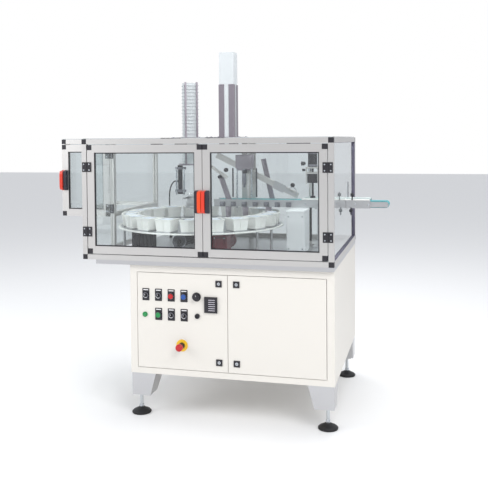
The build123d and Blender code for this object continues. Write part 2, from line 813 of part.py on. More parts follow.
# Right pane, cut away round the outfeed belt
outlet_width = belt_width + 56
with BuildPart() as right_pane:
    block(
        right_x - pane / 2,
        right_x + pane / 2,
        y_in[0] - pane_seat,
        y_in[1] + pane_seat,
        z_in[0] + joint_gap,
        z_in[1] - joint_gap,
    )
    block(
        guard_right - bar,
        guard_right,
        belt_centre_y - outlet_width / 2,
        belt_centre_y + outlet_width / 2,
        side_plate_bottom_z - 10,
        side_plate_bottom_z + 160,
        mode=Mode.SUBTRACT,
    )
finish(right_pane, "right_pane")

# Roof sheet, with a square hole for each magazine
hole_side = magazine_side + 16
with BuildPart() as roof:
    with BuildSketch(Plane.XY.offset(guard_top)):
        with Locations((guard_centre_x, guard_front_y + guard_depth / 2)):
            Rectangle(guard_width - 16, guard_depth - 16)
        with Locations((carton_magazine_x, carton_magazine_y)):
            Rectangle(hole_side, hole_side, mode=Mode.SUBTRACT)
        with Locations((tub_magazine_x, tub_magazine_y)):
            Rectangle(hole_side, hole_side, rotation=tub_magazine_angle - 90, mode=Mode.SUBTRACT)
    extrude(amount=roof_sheet)
finish(roof, "roof_sheet")

# Hinged guard doors
door_low = z_in[0] + guard_door_gap
door_height = z_in[1] - z_in[0] - 2 * guard_door_gap
left_door_x0 = x_in[0] + guard_door_gap
left_door_x1 = guard_centre_x - guard_door_seam / 2
right_door_x0 = guard_centre_x + guard_door_seam / 2
right_door_x1 = x_in[1] - guard_door_gap
hinge_axis_y = guard_front_y - hinge_pin_radius - 2.5
left_hinge_x = (x_in[0] + left_door_x0) / 2
right_hinge_x = (x_in[1] + right_door_x1) / 2
side_hinge_gap = 2.5
side_door_x1 = guard_left - side_hinge_gap
side_door_x0 = side_door_x1 - side_door_width
side_hinge_x = guard_left - side_hinge_gap / 2
side_hinge_axis_y = side_front_y - hinge_pin_radius - 2.5
door_hinge_z = [door_low + hinge_end_distance, door_low + door_height - hinge_end_distance]


def hinge_leaf_at(axis_x, axis_y, z, side, fixed):
    """One leaf of a two-leaf hinge. side is +1 if the leaf lies to the right of the pin."""
    third = hinge_height / 3
    surface_y = axis_y + hinge_pin_radius + 2.5
    near = axis_x + side * (hinge_knuckle_radius + 0.4)
    far = axis_x + side * hinge_leaf_width
    block(min(near, far), max(near, far), surface_y - hinge_leaf, surface_y, z - hinge_height / 2, z + hinge_height / 2)
    for number, low in enumerate((z - hinge_height / 2, z - third / 2, z + third / 2)):
        if (number != 1) == fixed:
            trim = 0 if fixed else seat_gap
            rod_z(axis_x, axis_y, low + trim, low + third - trim, hinge_knuckle_radius)
            web_edge = axis_x + side * (hinge_knuckle_radius + 0.4)
            block(
                min(axis_x, web_edge),
                max(axis_x, web_edge),
                axis_y,
                axis_y + hinge_knuckle_radius / 2,
                low + trim,
                low + third - trim,
            )
    if fixed:
        rod_z(axis_x, axis_y, z - hinge_height / 2, z + hinge_height / 2, hinge_pin_radius)
    else:
        with BuildSketch(Plane.XY.offset(z - hinge_height / 2)) as bore:
            with Locations((axis_x, axis_y)):
                Circle(hinge_pin_radius + running_fit)
        extrude(bore.sketch, amount=hinge_height, mode=Mode.SUBTRACT)


def door_handle(x0, side, face_y, centre_z):
    """A bow handle on a backing block. The grip stands at the x0 edge and side says where the block goes."""
    base_centre = x0 + side * handle_width / 2
    with BuildPart() as handle:
        with BuildSketch(Plane.XZ.offset(-face_y)):
            with Locations((base_centre, centre_z)):
                RectangleRounded(handle_width, handle_height, 3)
        extrude(amount=handle_base)
        with BuildSketch(Plane.XZ.offset(-face_y + handle_base)):
            with Locations((x0 + side * (handle_width + handle_grip_width) / 2, centre_z)):
                Rectangle(handle_width - handle_grip_width, handle_height - 6)
        extrude(amount=handle_side_reach - handle_base, taper=4)
        half = handle_height / 2 - 2
        reach = handle_reach
        inner = reach - handle_grip_thickness
        grip_plane = Plane(origin=(x0, face_y, centre_z), x_dir=(0, -1, 0), z_dir=(-1, 0, 0))
        with BuildSketch(grip_plane):
            with BuildLine():
                Polyline(
                    (handle_base, -half),
                    (reach - 6, -half + 4),
                    (reach, -half + 24),
                    (reach, half - 24),
                    (reach - 6, half - 4),
                    (handle_base, half),
                    (handle_base, half - 14),
                    (inner - 4, half - 18),
                    (inner, half - 28),
                    (inner, -half + 28),
                    (inner - 4, -half + 18),
                    (handle_base, -half + 14),
                    close=True,
                )
            make_face()
        extrude(amount=-side * handle_grip_width)
    return handle


def guard_door(name, x0, x1, low, height, front, hinge_x, hinge_y, hinge_zs, leaf_side, handle_x, handle_side, handle_z):
    """A framed guard door: bars, pane, black fittings and handle, each written as its own node."""
    face = Plane(origin=(x0, front, low), x_dir=(1, 0, 0), z_dir=(0, -1, 0))
    width = x1 - x0
    with BuildPart() as frame:
        framed_bars(face, width, height)
    finish(frame, f"{name}_frame")
    with BuildPart() as glass:
        panel_pane(face, width, height)
    finish(glass, f"{name}_pane")
    with BuildPart() as fittings:
        for cube_x in (x0 + bar / 2, x1 - bar / 2):
            for cube_z in (low + bar / 2, low + height - bar / 2):
                corner_cube(cube_x, front + bar / 2, cube_z)
        panel_gasket(face, width, height)
        for hinge_z in hinge_zs:
            hinge_leaf_at(hinge_x, hinge_y, hinge_z, leaf_side, False)
    finish(fittings, f"{name}_fittings")
    finish(door_handle(handle_x, handle_side, front, handle_z), f"{name}_handle")


guard_door(
    "door_left",
    left_door_x0,
    left_door_x1,
    door_low,
    door_height,
    guard_front_y,
    left_hinge_x,
    hinge_axis_y,
    door_hinge_z,
    1,
    left_door_x1,
    -1,
    handle_centre_z,
)
guard_door(
    "door_right",
    right_door_x0,
    right_door_x1,
    door_low,
    door_height,
    guard_front_y,
    right_hinge_x,
    hinge_axis_y,
    door_hinge_z,
    -1,
    right_door_x0,
    1,
    handle_centre_z,
)
guard_door(
    "side_door",
    side_door_x0,
    side_door_x1,
    side_door_low,
    side_door_height,
    side_front_y,
    side_hinge_x,
    side_hinge_axis_y,
    side_hinge_z,
    -1,
    side_door_x0,
    1,
    side_handle_centre_z,
)

# Fixed black fittings of the guard: corner cubes, and hinge leaves with their pins
with BuildPart() as guard_fittings:
    for cube_x in (left_x, right_x):
        for cube_y in (front_y, rear_y):
            for cube_z in (low_z, high_z):
                corner_cube(cube_x, cube_y, cube_z)
    corner_cube(bay_x, side_post_y, high_z)
    corner_cube(bay_x, rear_y, high_z)
    corner_cube(bay_x, rear_y, bay_rail_z)
    for hinge_z in door_hinge_z:
        hinge_leaf_at(left_hinge_x, hinge_axis_y, hinge_z, -1, True)
        hinge_leaf_at(right_hinge_x, hinge_axis_y, hinge_z, 1, True)
    for hinge_z in side_hinge_z:
        hinge_leaf_at(side_hinge_x, side_hinge_axis_y, hinge_z, 1, True)
finish(guard_fittings, "guard_fittings")

# Turntable disc with its hub, shaft and the low rings that locate the tubs
nest_angles = [nest_first_angle + n * 360 / nest_count for n in range(nest_count)]
with BuildPart() as turntable:
    with BuildSketch(Plane(origin=(table_centre_x, table_centre_y, 0), x_dir=(1, 0, 0), z_dir=(0, -1, 0))):
        with BuildLine():
            Polyline(
                (0, disc_z - hub_height - table_shaft_length),
                (table_shaft_radius, disc_z - hub_height - table_shaft_length),
                (table_shaft_radius, disc_z - hub_height),
                (hub_radius, disc_z - hub_height),
                (hub_radius, disc_z),
                (disc_radius, disc_z),
                (disc_radius, disc_top_z),
                (0, disc_top_z),
                close=True,
            )
        make_face()
    revolve(axis=Axis((table_centre_x, table_centre_y, 0), (0, 0, 1)))
    with BuildSketch(Plane(origin=(table_centre_x, table_centre_y, disc_top_z))):
        with PolarLocations(nest_radius, nest_count, start_angle=nest_first_angle):
            Rectangle(tub_foot + 3 + 2 * nest_wall, tub_foot + 3 + 2 * nest_wall)
            Rectangle(tub_foot + 3, tub_foot + 3, mode=Mode.SUBTRACT)
    extrude(amount=nest_height)
finish(turntable, "turntable_disc")

# Lidded square tubs, one in each nest
with BuildPart() as tubs:
    for angle in nest_angles:
        tub_x = table_centre_x + nest_radius * math.cos(math.radians(angle))
        tub_y = table_centre_y + nest_radius * math.sin(math.radians(angle))
        spot = Plane(origin=(tub_x, tub_y, disc_top_z)).rotated((0, 0, angle))
        lip_z = tub_height - tub_lip_thickness
        with BuildSketch(spot) as tub_base:
            Rectangle(tub_foot, tub_foot)
        with BuildSketch(spot.offset(lip_z)) as tub_mouth:
            Rectangle(tub_top, tub_top)
        loft([tub_base.sketch, tub_mouth.sketch])
        with BuildSketch(spot.offset(lip_z)):
            Rectangle(tub_lip, tub_lip)
        extrude(amount=tub_lip_thickness)
        with BuildSketch(spot.offset(tub_height - tub_lid_recess)):
            Rectangle(tub_foot, tub_foot)
        extrude(amount=tub_lid_recess, mode=Mode.SUBTRACT)
finish(tubs, "tubs")

# Drive box under the turntable, with the output flange and the rim support posts
drive_top = table_z + drive_box_height
with BuildPart() as table_drive:
    block(
        table_centre_x - drive_box_x / 2,
        table_centre_x + drive_box_x / 2,
        table_centre_y - drive_box_y / 2,
        table_centre_y + drive_box_y / 2,
        table_z,
        drive_top,
    )
    fillet(table_drive.edges().filter_by(Axis.Z), 12)
    with BuildSketch(Plane.XY.offset(drive_top)):
        with Locations((table_centre_x, table_centre_y)):
            Circle(drive_flange_radius)
    extrude(amount=disc_z - hub_height - drive_top - seat_gap)
    with BuildSketch(Plane.XY.offset(disc_z - hub_height - table_shaft_length - 2)):
        with Locations((table_centre_x, table_centre_y)):
            Circle(table_shaft_radius + running_fit)
    extrude(amount=table_shaft_length + 2, mode=Mode.SUBTRACT)
    for angle in rim_post_angles:
        post_x = table_centre_x + rim_post_circle * math.cos(math.radians(angle))
        post_y = table_centre_y + rim_post_circle * math.sin(math.radians(angle))
        rod_z(post_x, post_y, table_z, table_z + 10, 2 * rim_post_radius)
        rod_z(post_x, post_y, table_z + 10, disc_z - seat_gap, rim_post_radius)
finish(table_drive, "table_drive")

# Drive motors: a dark one on the front of the drive box and a red one on its side
front_motor_x = table_centre_x - 54
front_motor_z = table_z + 76
drive_front_y = table_centre_y - drive_box_y / 2
drive_right_x = table_centre_x + drive_box_x / 2


def ribbed_motor(origin, x_dir, z_dir, radius, length):
    """A motor body along the plane's normal: flange, ribbed barrel and fan cover."""
    flange = Plane(origin=origin, x_dir=x_dir, z_dir=z_dir)
    with BuildSketch(flange) as flange_face:
        RectangleRounded(2 * radius - 4, 2 * radius - 4, 8)
    extrude(flange_face.sketch, amount=10)
    with BuildSketch(flange.offset(10)) as barrel:
        Circle(radius - 4)
        with PolarLocations(radius - 3, 12):
            Rectangle(6, 2)
    extrude(barrel.sketch, amount=length - 40)
    with BuildSketch(flange.offset(length - 30)) as fan_cover:
        Circle(radius)
    extrude(fan_cover.sketch, amount=30)
    with BuildSketch(flange.offset(length - 4)) as fan_opening:
        Circle(radius * 0.72)
        Circle(radius * 0.3, mode=Mode.SUBTRACT)
    extrude(fan_opening.sketch, amount=4, mode=Mode.SUBTRACT)


with BuildPart() as table_motor:
    ribbed_motor((front_motor_x, drive_front_y, front_motor_z), (1, 0, 0), (0, -1, 0), front_motor_radius, front_motor_length)
finish(table_motor, "table_motor")

# Red gearmotor on its foot, with a shaft guard to the drive box
with BuildPart() as gearmotor:
    gear_x0 = table_centre_x + 154
    gear_x1 = gear_x0 + 94
    gear_y0 = guard_front_y + 300
    gear_y1 = gear_y0 + 92
    gear_centre_x = (gear_x0 + gear_x1) / 2
    block(gear_x0, gear_x1, gear_y0, gear_y1, table_z + 6, table_z + 122)
    fillet(gearmotor.edges().filter_by(Axis.Y), 12)
    block(gear_x0 - 10, gear_x1 + 10, gear_y0 + 10, gear_y1 + 30, table_z, table_z + 6)
    ribbed_motor((gear_centre_x, gear_y1, table_z + 64), (1, 0, 0), (0, 1, 0), side_motor_radius, side_motor_length + 50)
    block(drive_right_x, gear_centre_x - side_motor_radius + 12, gear_y1 + 90, gear_y1 + 110, table_z + 50, table_z + 80)
finish(gearmotor, "gearmotor")

# White sheet cover over the belt drive
cover_x0 = table_centre_x + 575
cover_x1 = cover_x0 + 114
cover_y1 = belt_centre_y - 60
cover_y0 = cover_y1 - 200
cover_top = side_plate_bottom_z - 5
with BuildPart() as belt_cover:
    block(cover_x0, cover_x1, cover_y0, cover_y1, table_z, cover_top)
    fillet(belt_cover.edges().filter_by(Axis.Z), 5)
    block(
        cover_x0 + sheet,
        cover_x1 - sheet,
        cover_y0 + sheet,
        cover_y1 - sheet,
        table_z,
        cover_top - sheet,
        mode=Mode.SUBTRACT,
    )
finish(belt_cover, "belt_drive_cover")

# Outfeed belt frame: side plates, ties between the belt runs, and a stand
belt_y0 = belt_centre_y - belt_width / 2
belt_y1 = belt_centre_y + belt_width / 2
plate_gap = 6
plate_in = (belt_y0 - plate_gap, belt_y1 + plate_gap)
nose_half = 16
with BuildPart() as belt_frame:
    for plate_y0 in (plate_in[0] - side_plate, plate_in[1]):
        with BuildSketch(Plane(origin=(0, plate_y0, 0), x_dir=(1, 0, 0), z_dir=(0, -1, 0))):
            with BuildLine():
                Polyline(
                    (belt_left_x - 24, side_plate_bottom_z),
                    (side_plate_end_x, side_plate_bottom_z),
                    (side_plate_end_x, belt_axis_z - nose_half),
                    (belt_right_x + 12, belt_axis_z - nose_half),
                    (belt_right_x + 12, belt_axis_z + nose_half),
                    (side_plate_end_x, belt_axis_z + nose_half),
                    (side_plate_end_x, side_plate_top_z),
                    (belt_left_x - 24, side_plate_top_z),
                    close=True,
                )
            make_face()
            with Locations((belt_left_x, belt_axis_z), (belt_right_x, belt_axis_z)):
                Circle(roller_shaft_radius + running_fit, mode=Mode.SUBTRACT)
        extrude(amount=-side_plate)
    bed_low = belt_axis_z + roller_radius - 6
    block(belt_left_x + 30, belt_right_x - 30, *plate_in, bed_low, bed_low + 5)
    for rail_y0 in (plate_in[0] - side_plate - guide_rail_width, plate_in[1] + side_plate):
        block(
            side_plate_end_x - guide_rail_length,
            side_plate_end_x,
            rail_y0,
            rail_y0 + guide_rail_width,
            side_plate_bottom_z,
            belt_axis_z + guide_rail_rise,
        )
    tie_places = [belt_left_x + 70 + step * (belt_right_x - belt_left_x - 150) / 3 for step in range(4)]
    for tie_x in tie_places:
        block(tie_x - 10, tie_x + 10, *plate_in, belt_axis_z - 12, bed_low)
    block(belt_stand_x - 30, belt_stand_x + 30, plate_in[0] - side_plate, plate_in[1] + side_plate, side_plate_bottom_z - 8, side_plate_bottom_z)
    block(belt_stand_x - 20, belt_stand_x + 20, belt_centre_y - 20, belt_centre_y + 20, table_z + 8, side_plate_bottom_z - 8)
    block(belt_stand_x - 50, belt_stand_x + 50, belt_centre_y - 50, belt_centre_y + 50, table_z, table_z + 8)
finish(belt_frame, "belt_frame")

# Belt loop round the two rollers
with BuildPart() as belt:
    belt_inner = roller_radius + seat_gap
    belt_span = belt_right_x - belt_left_x
    with BuildSketch(Plane(origin=((belt_left_x + belt_right_x) / 2, belt_y1, belt_axis_z), x_dir=(1, 0, 0), z_dir=(0, -1, 0))):
        SlotCenterToCenter(belt_span, 2 * (belt_inner + belt_thickness))
        SlotCenterToCenter(belt_span, 2 * belt_inner, mode=Mode.SUBTRACT)
    extrude(amount=belt_width)
finish(belt, "outfeed_belt")

# End rollers, each with a shaft that runs in the side plates
for roller_name, roller_x in (("roller_tail", belt_left_x), ("roller_head", belt_right_x)):
    with BuildPart() as roller:
        front_disc(roller_x, belt_axis_z, belt_y0, belt_y1, roller_radius)
        front_disc(roller_x, belt_axis_z, plate_in[0] - side_plate, plate_in[1] + side_plate, roller_shaft_radius)
    finish(roller, roller_name)

# Frames of the stations: belt hangers, the inclined rail, the press stand and the cylinder bracket
rail_angle = math.degrees(math.atan2(rail_start_z - rail_end_z, rail_end_x - rail_start_x))
rail_length = math.hypot(rail_start_z - rail_end_z, rail_end_x - rail_start_x)
rail_plane = Plane(origin=(rail_start_x, belt_centre_y, rail_start_z), x_dir=(0, 1, 0), z_dir=(math.cos(math.radians(rail_angle)), 0, -math.sin(math.radians(rail_angle))))
hanger_y = plate_in[1] + side_plate
hanger_places = (carton_magazine_x + beam_spacing / 2 - 12, hanger_beam_x - 16)
press_y = belt_centre_y
column_y = plate_in[1] + side_plate + guide_rail_width + press_column_radius + 4
lift_x = tub_magazine_x - 78
lift_y = tub_magazine_y
with BuildPart() as stations:
    for hanger_x in hanger_places:
        block(
            hanger_x - hanger_width / 2,
            hanger_x + hanger_width / 2,
            hanger_y,
            hanger_y + hanger_thickness,
            side_plate_bottom_z,
            high_z - bar / 2,
        )
    bracket_x = hanger_places[1]
    bracket_z = rail_start_z - (bracket_x - rail_start_x) * math.tan(math.radians(rail_angle))
    rail_back_y = belt_centre_y + rail_width / 2
    block(bracket_x - 15, bracket_x + 15, rail_back_y, hanger_y, bracket_z - 12, bracket_z + 12)
    with BuildSketch(rail_plane):
        Rectangle(rail_width, rail_thickness)
        with Locations((rail_width / 2 - 3, 0)):
            Rectangle(6, 10, mode=Mode.SUBTRACT)
    extrude(amount=rail_length)
    for side in (-1, 1):
        rod_x = press_x + side * press_column_spacing / 2
        rod_z(rod_x, column_y, table_z + 10, press_bottom_z, press_column_radius)
    block(press_x - 60, press_x + 60, column_y - 20, column_y + 20, table_z, table_z + 10)
    for plate_low in (press_bottom_z - 10, press_bottom_z - 45):
        block(press_x - 42, press_x + 42, press_y - 30, column_y + 14, plate_low, plate_low + 10)
    for side in (-1, 1):
        rod_z(
            press_x + side * press_guide_spacing / 2,
            press_y - 20,
            press_bottom_z - 110,
            press_bottom_z - 10,
            press_guide_radius,
        )
    rod_z(press_x, press_y, press_bottom_z - 45, press_bottom_z, press_rod_radius + running_fit, mode=Mode.SUBTRACT)
finish(stations, "station_frames")

lift_radius = 16
lift_low_z = tub_magazine_foot_z - 215
lift_top_z = tub_magazine_foot_z - 10

# Air hose from the lift cylinder down to the table plate, in runs joined by arcs
hose_radius = 4.5
hose_points = [
    (lift_x - lift_radius - 4, lift_y, lift_low_z + 91),
    (lift_x - lift_radius - 30, lift_y, lift_low_z + 91),
    (lift_x - lift_radius - 58, lift_y + 10, lift_low_z + 59),
    (lift_x - lift_radius - 74, lift_y + 20, lift_low_z + 7),
    (lift_x - lift_radius - 78, lift_y + 28, lift_low_z - 67),
    (lift_x - lift_radius - 76, lift_y + 33, lift_low_z - 147),
    (lift_x - lift_radius - 72, lift_y + 34, lift_low_z - 227),
    (lift_x - lift_radius - 72, lift_y + 34, table_z + 14),
]


def arc_radii(points):
    """Each corner's radius: 0.45 of its shorter run over the tangent of half the turn."""
    radii = []
    for before, here, after in zip(points, points[1:], points[2:]):
        run_in = Vector(*here) - Vector(*before)
        run_out = Vector(*after) - Vector(*here)
        turn = math.radians(run_in.get_angle(run_out))
        radii.append(0.45 * min(run_in.length, run_out.length) / math.tan(turn / 2))
    return radii


hose_radii = arc_radii(hose_points)
print("hose radii", [round(r, 1) for r in hose_radii])
with BuildPart() as hose:
    with BuildLine() as route:
        FilletPolyline(*hose_points, radius=hose_radii)
    with BuildSketch(Plane(origin=route.line @ 0, z_dir=route.line % 0)):
        Circle(hose_radius)
    sweep()
finish(hose, "air_hose")

# Cylinders and valves: press cylinder, lift cylinder and the valve box
with BuildPart() as cylinders:
    rod_z(press_x, press_y, press_bottom_z, press_bottom_z + press_cylinder_length, press_cylinder_radius)
    block(press_x - 32, press_x + 32, press_y - 23, press_y + 23, press_bottom_z - 104, press_bottom_z - 45)
    bore_top = press_bottom_z + press_stroke + 45
    rod_z(press_x, press_y, press_bottom_z - 104, bore_top, press_rod_radius + running_fit, mode=Mode.SUBTRACT)
    rod_z(lift_x, lift_y, lift_low_z, lift_top_z, lift_radius)
    rod_z(lift_x, lift_y, lift_top_z - 14, lift_top_z, lift_radius + 3)
    rod_z(lift_x, lift_y, lift_low_z, lift_low_z + 14, lift_radius + 3)
    port_plane = Plane(origin=(lift_x - lift_radius + 2, lift_y, hose_points[0][2]), x_dir=(0, 1, 0), z_dir=(-1, 0, 0))
    with BuildSketch(port_plane):
        RegularPolygon(8, 6)
    extrude(amount=6)
    rod_z(hose_points[-1][0], hose_points[-1][1], table_z, table_z + 14, 11)
    valve_x = table_centre_x - 369
    valve_y = guard_front_y + 300
    block(valve_x, valve_x + 132, valve_y, valve_y + 80, table_z, table_z + 126)
    for valve in range(5):
        block(
            valve_x + 6 + valve * 25,
            valve_x + 26 + valve * 25,
            valve_y - 10,
            valve_y,
            table_z + 31,
            table_z + 116,
        )
finish(cylinders, "cylinders_and_valves")

# Press head: rod and stamp pad
pad_z = side_plate_top_z + 12
with BuildPart() as press_head:
    rod_z(press_x, press_y, pad_z + 12, press_bottom_z + 36, press_rod_radius)
    rod_z(press_x, press_y, pad_z, pad_z + 12, 16)
finish(press_head, "press_head")

# Carriage of the inclined rail: slide plate, arm and curved gripper
carriage_at = rail_length * 0.78
arm_length = 118
with BuildPart() as carriage:
    slide_face = Plane(
        origin=rail_plane.offset(carriage_at).from_local_coords((-rail_width / 2 - seat_gap, 0, 0)),
        x_dir=rail_plane.z_dir,
        z_dir=(0, -1, 0),
    )
    with BuildSketch(slide_face):
        RectangleRounded(80, 52, 5)
    extrude(amount=10)
    with BuildSketch(slide_face.offset(10)):
        with Locations((40, 0)):
            Rectangle(arm_length, 16)
    extrude(amount=8)
    with BuildSketch(slide_face.offset(10)):
        with Locations((arm_length - 26, 12)):
            Circle(30)
            Circle(24, mode=Mode.SUBTRACT)
        with Locations((arm_length - 26, -24)):
            Rectangle(80, 48, mode=Mode.SUBTRACT)
        with Locations((arm_length - 24, 0)):
            Rectangle(64, 10)
    extrude(amount=8)
finish(carriage, "transfer_carriage")

# Magazine guides on the roof: flanges, corner angles and foot plates
with BuildPart() as magazine_guides:
    with BuildSketch(Plane.XY.offset(roof_top)):
        with Locations((carton_magazine_x, carton_magazine_y)):
            Rectangle(carton_flange, carton_flange_depth)
            Rectangle(carton_stack_side + 2, carton_stack_side + 2, mode=Mode.SUBTRACT)
    extrude(amount=5)
    with BuildSketch(Plane.XY.offset(roof_top)):
        with Locations((tub_magazine_x, tub_magazine_y)):
            Rectangle(tub_flange, tub_flange_depth)
            Rectangle(tub_lip + 2, tub_lip + 2, rotation=tub_magazine_angle - 90, mode=Mode.SUBTRACT)
    extrude(amount=5)
    half = carton_stack_side / 2 + 1
    for corner in ((-1, -1), (1, -1), (1, 1), (-1, 1)):
        with BuildSketch(Plane.XY.offset(magazine_foot_z)):
            with BuildLine():
                cx = carton_magazine_x + corner[0] * half
                cy = carton_magazine_y + corner[1] * half
                out_x, out_y = 2 * corner[0], 2 * corner[1]
                in_x, in_y = -carton_rail * corner[0], -carton_rail * corner[1]
                Polyline(
                    (cx, cy),
                    (cx + in_x, cy),
                    (cx + in_x, cy + out_y),
                    (cx + out_x, cy + out_y),
                    (cx + out_x, cy + in_y),
                    (cx, cy + in_y),
                    close=True,
                )
            make_face()
        extrude(amount=carton_rail_top_z - magazine_foot_z)
    tub_spot = Plane(origin=(tub_magazine_x, tub_magazine_y, tub_magazine_foot_z)).rotated((0, 0, tub_magazine_angle - 90))
    with BuildSketch(tub_spot):
        with GridLocations(tub_lip - 30, tub_lip + 7, 2, 2):
            Rectangle(12, 5)
    extrude(amount=tub_stack_top_z - tub_magazine_foot_z + 5)
    with BuildSketch(Plane.XY.offset(magazine_foot_z - 10)):
        with Locations((carton_magazine_x, carton_magazine_y)):
            Rectangle(150, 120)
            Rectangle(70, 70, mode=Mode.SUBTRACT)
    extrude(amount=10)
    with BuildSketch(tub_spot.offset(-10)):
        Rectangle(150, 124)
        Rectangle(80, 80, mode=Mode.SUBTRACT)
    extrude(amount=10)
finish(magazine_guides, "magazine_guides")

# Stacks in the magazines: flat folded cartons, and nested tubs with their rims showing
with BuildPart() as stacks:
    block(
        carton_magazine_x - carton_stack_side / 2,
        carton_magazine_x + carton_stack_side / 2,
        carton_magazine_y - carton_stack_side / 2,
        carton_magazine_y + carton_stack_side / 2,
        magazine_foot_z + seat_gap,
        carton_stack_top_z,
    )
    with BuildSketch(tub_spot.offset(seat_gap)) as stack_core:
        Rectangle(tub_top - 6, tub_top - 6)
    extrude(stack_core.sketch, amount=tub_stack_top_z - tub_magazine_foot_z - seat_gap)
    rim_pitch = 24
    rim_count = int((tub_stack_top_z - tub_magazine_foot_z) / rim_pitch)
    for rim in range(rim_count):
        with BuildSketch(tub_spot.offset(20 + rim * rim_pitch)):
            Rectangle(tub_lip - 1, tub_lip - 1)
        extrude(amount=3)
finish(stacks, "magazine_stacks")

print(len(nodes), "nodes")
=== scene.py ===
"""Looks for the rotary carton filling machine: finishes, fasteners, painted shade strips and small fittings."""

import math

import bpy
from mathutils import Matrix, Vector


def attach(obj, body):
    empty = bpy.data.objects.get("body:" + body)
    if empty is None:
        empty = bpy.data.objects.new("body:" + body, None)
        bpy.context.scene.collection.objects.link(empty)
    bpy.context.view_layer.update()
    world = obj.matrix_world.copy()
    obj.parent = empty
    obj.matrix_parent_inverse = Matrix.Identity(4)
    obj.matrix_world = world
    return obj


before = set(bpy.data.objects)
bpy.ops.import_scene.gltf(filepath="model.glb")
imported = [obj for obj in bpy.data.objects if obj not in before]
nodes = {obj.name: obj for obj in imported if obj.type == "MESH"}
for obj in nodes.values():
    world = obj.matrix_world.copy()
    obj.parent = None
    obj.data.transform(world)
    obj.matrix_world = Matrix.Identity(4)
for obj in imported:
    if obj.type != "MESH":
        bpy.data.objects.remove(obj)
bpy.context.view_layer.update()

MM = 0.001


# Materials


def linear(hex_colour):
    """An sRGB hex colour as linear red, green, blue and alpha."""
    channels = [int(hex_colour[i : i + 2], 16) / 255 for i in (1, 3, 5)]
    curve = [c / 12.92 if c <= 0.04045 else ((c + 0.055) / 1.055) ** 2.4 for c in channels]
    return (*curve, 1.0)


def add_node(material, kind, settings=None, **links):
    """Adds one shader node with its settings, and its input links by socket name."""
    tree = material.node_tree
    node = tree.nodes.new(kind)
    for key, value in (settings or {}).items():
        if hasattr(node, key):
            setattr(node, key, value)
        else:
            node.inputs[key].default_value = value
    for key, source in links.items():
        tree.links.new(source, node.inputs[key.replace("_", " ")])
    return node


def new_material(name, **values):
    """A material with one Principled shader set from the values."""
    material = bpy.data.materials.new(name)
    material.use_nodes = True
    shader = material.node_tree.nodes["Principled BSDF"]
    for key, value in values.items():
        shader.inputs[key.replace("_", " ")].default_value = value
    return material, shader


def surface_grain(material, shader, size_mm, depth, stretch=(1, 1, 1), detail=2):
    """Bump and a little roughness change from noise whose grain is size_mm across."""
    place = add_node(material, "ShaderNodeTexCoord")
    turn = add_node(material, "ShaderNodeMapping", {"Scale": stretch}, Vector=place.outputs["Object"])
    noise = add_node(
        material,
        "ShaderNodeTexNoise",
        {"Scale": 1 / (size_mm * MM), "Detail": detail, "Roughness": 0.55},
        Vector=turn.outputs["Vector"],
    )
    bump = add_node(
        material,
        "ShaderNodeBump",
        {"Strength": depth, "Distance": 0.1 * MM},
        Height=noise.outputs["Fac"],
    )
    material.node_tree.links.new(bump.outputs["Normal"], shader.inputs["Normal"])
    return noise


def vary(material, shader, noise, socket, low, high):
    """Drives one changing socket from the noise, between low and high."""
    spread = add_node(
        material,
        "ShaderNodeMapRange",
        {"To Min": low, "To Max": high},
        Value=noise.outputs["Fac"],
    )
    material.node_tree.links.new(spread.outputs["Result"], shader.inputs[socket])


# Powder coat on sheet steel: cream, with a fine orange peel
powder_cream, shader = new_material("powder_coat_cream", Base_Color=linear("#DDD9D2"), Roughness=0.42, IOR=1.5)
grain = surface_grain(powder_cream, shader, 6, 0.12)
vary(powder_cream, shader, grain, "Roughness", 0.38, 0.48)

# White powder coat on the belt drive cover
powder_white, shader = new_material("powder_coat_white", Base_Color=linear("#E4E4E6"), Roughness=0.4, IOR=1.5)
grain = surface_grain(powder_white, shader, 6, 0.12)
vary(powder_white, shader, grain, "Roughness", 0.36, 0.46)

# Brushed stainless steel: fine lines along X
stainless, shader = new_material("stainless_brushed", Base_Color=linear("#C4C4C6"), Metallic=1.0, Roughness=0.34)
grain = surface_grain(stainless, shader, 3, 0.25, stretch=(0.04, 1, 1), detail=4)
vary(stainless, shader, grain, "Roughness", 0.27, 0.4)

# Natural anodised aluminium: even satin, drawn lines too fine to see are drawn 4 mm wide
anodised, shader = new_material("aluminium_anodised", Base_Color=linear("#CFCDCB"), Metallic=1.0, Roughness=0.42)
grain = surface_grain(anodised, shader, 4, 0.08)
vary(anodised, shader, grain, "Roughness", 0.38, 0.46)

# Bright zinc plate: a slightly mottled bluish grey
zinc, shader = new_material("zinc_plate", Base_Color=linear("#BFC3C8"), Metallic=1.0, Roughness=0.28)
grain = surface_grain(zinc, shader, 8, 0.05)
vary(zinc, shader, grain, "Roughness", 0.2, 0.34)

# Clear polycarbonate sheet
polycarbonate, shader = new_material(
    "polycarbonate_clear",
    Base_Color=linear("#F4F8F8"),
    Roughness=0.02,
    IOR=1.585,
    Transmission_Weight=1.0,
)
clear_path = add_node(polycarbonate, "ShaderNodeLightPath")
see_through = add_node(polycarbonate, "ShaderNodeBsdfTransparent", {"Color": linear("#F0F4F4")})
mixed = add_node(polycarbonate, "ShaderNodeMixShader", Fac=clear_path.outputs["Is Shadow Ray"])
polycarbonate.node_tree.links.new(shader.outputs["BSDF"], mixed.inputs[1])
polycarbonate.node_tree.links.new(see_through.outputs["BSDF"], mixed.inputs[2])
output = polycarbonate.node_tree.nodes["Material Output"]
polycarbonate.node_tree.links.new(mixed.outputs["Shader"], output.inputs["Surface"])

# Black glass filled nylon: corner cubes, hinges and fittings
nylon_black, shader = new_material("nylon_black", Base_Color=linear("#1D1B22"), Roughness=0.48, IOR=1.53)
surface_grain(nylon_black, shader, 1.5, 0.2)

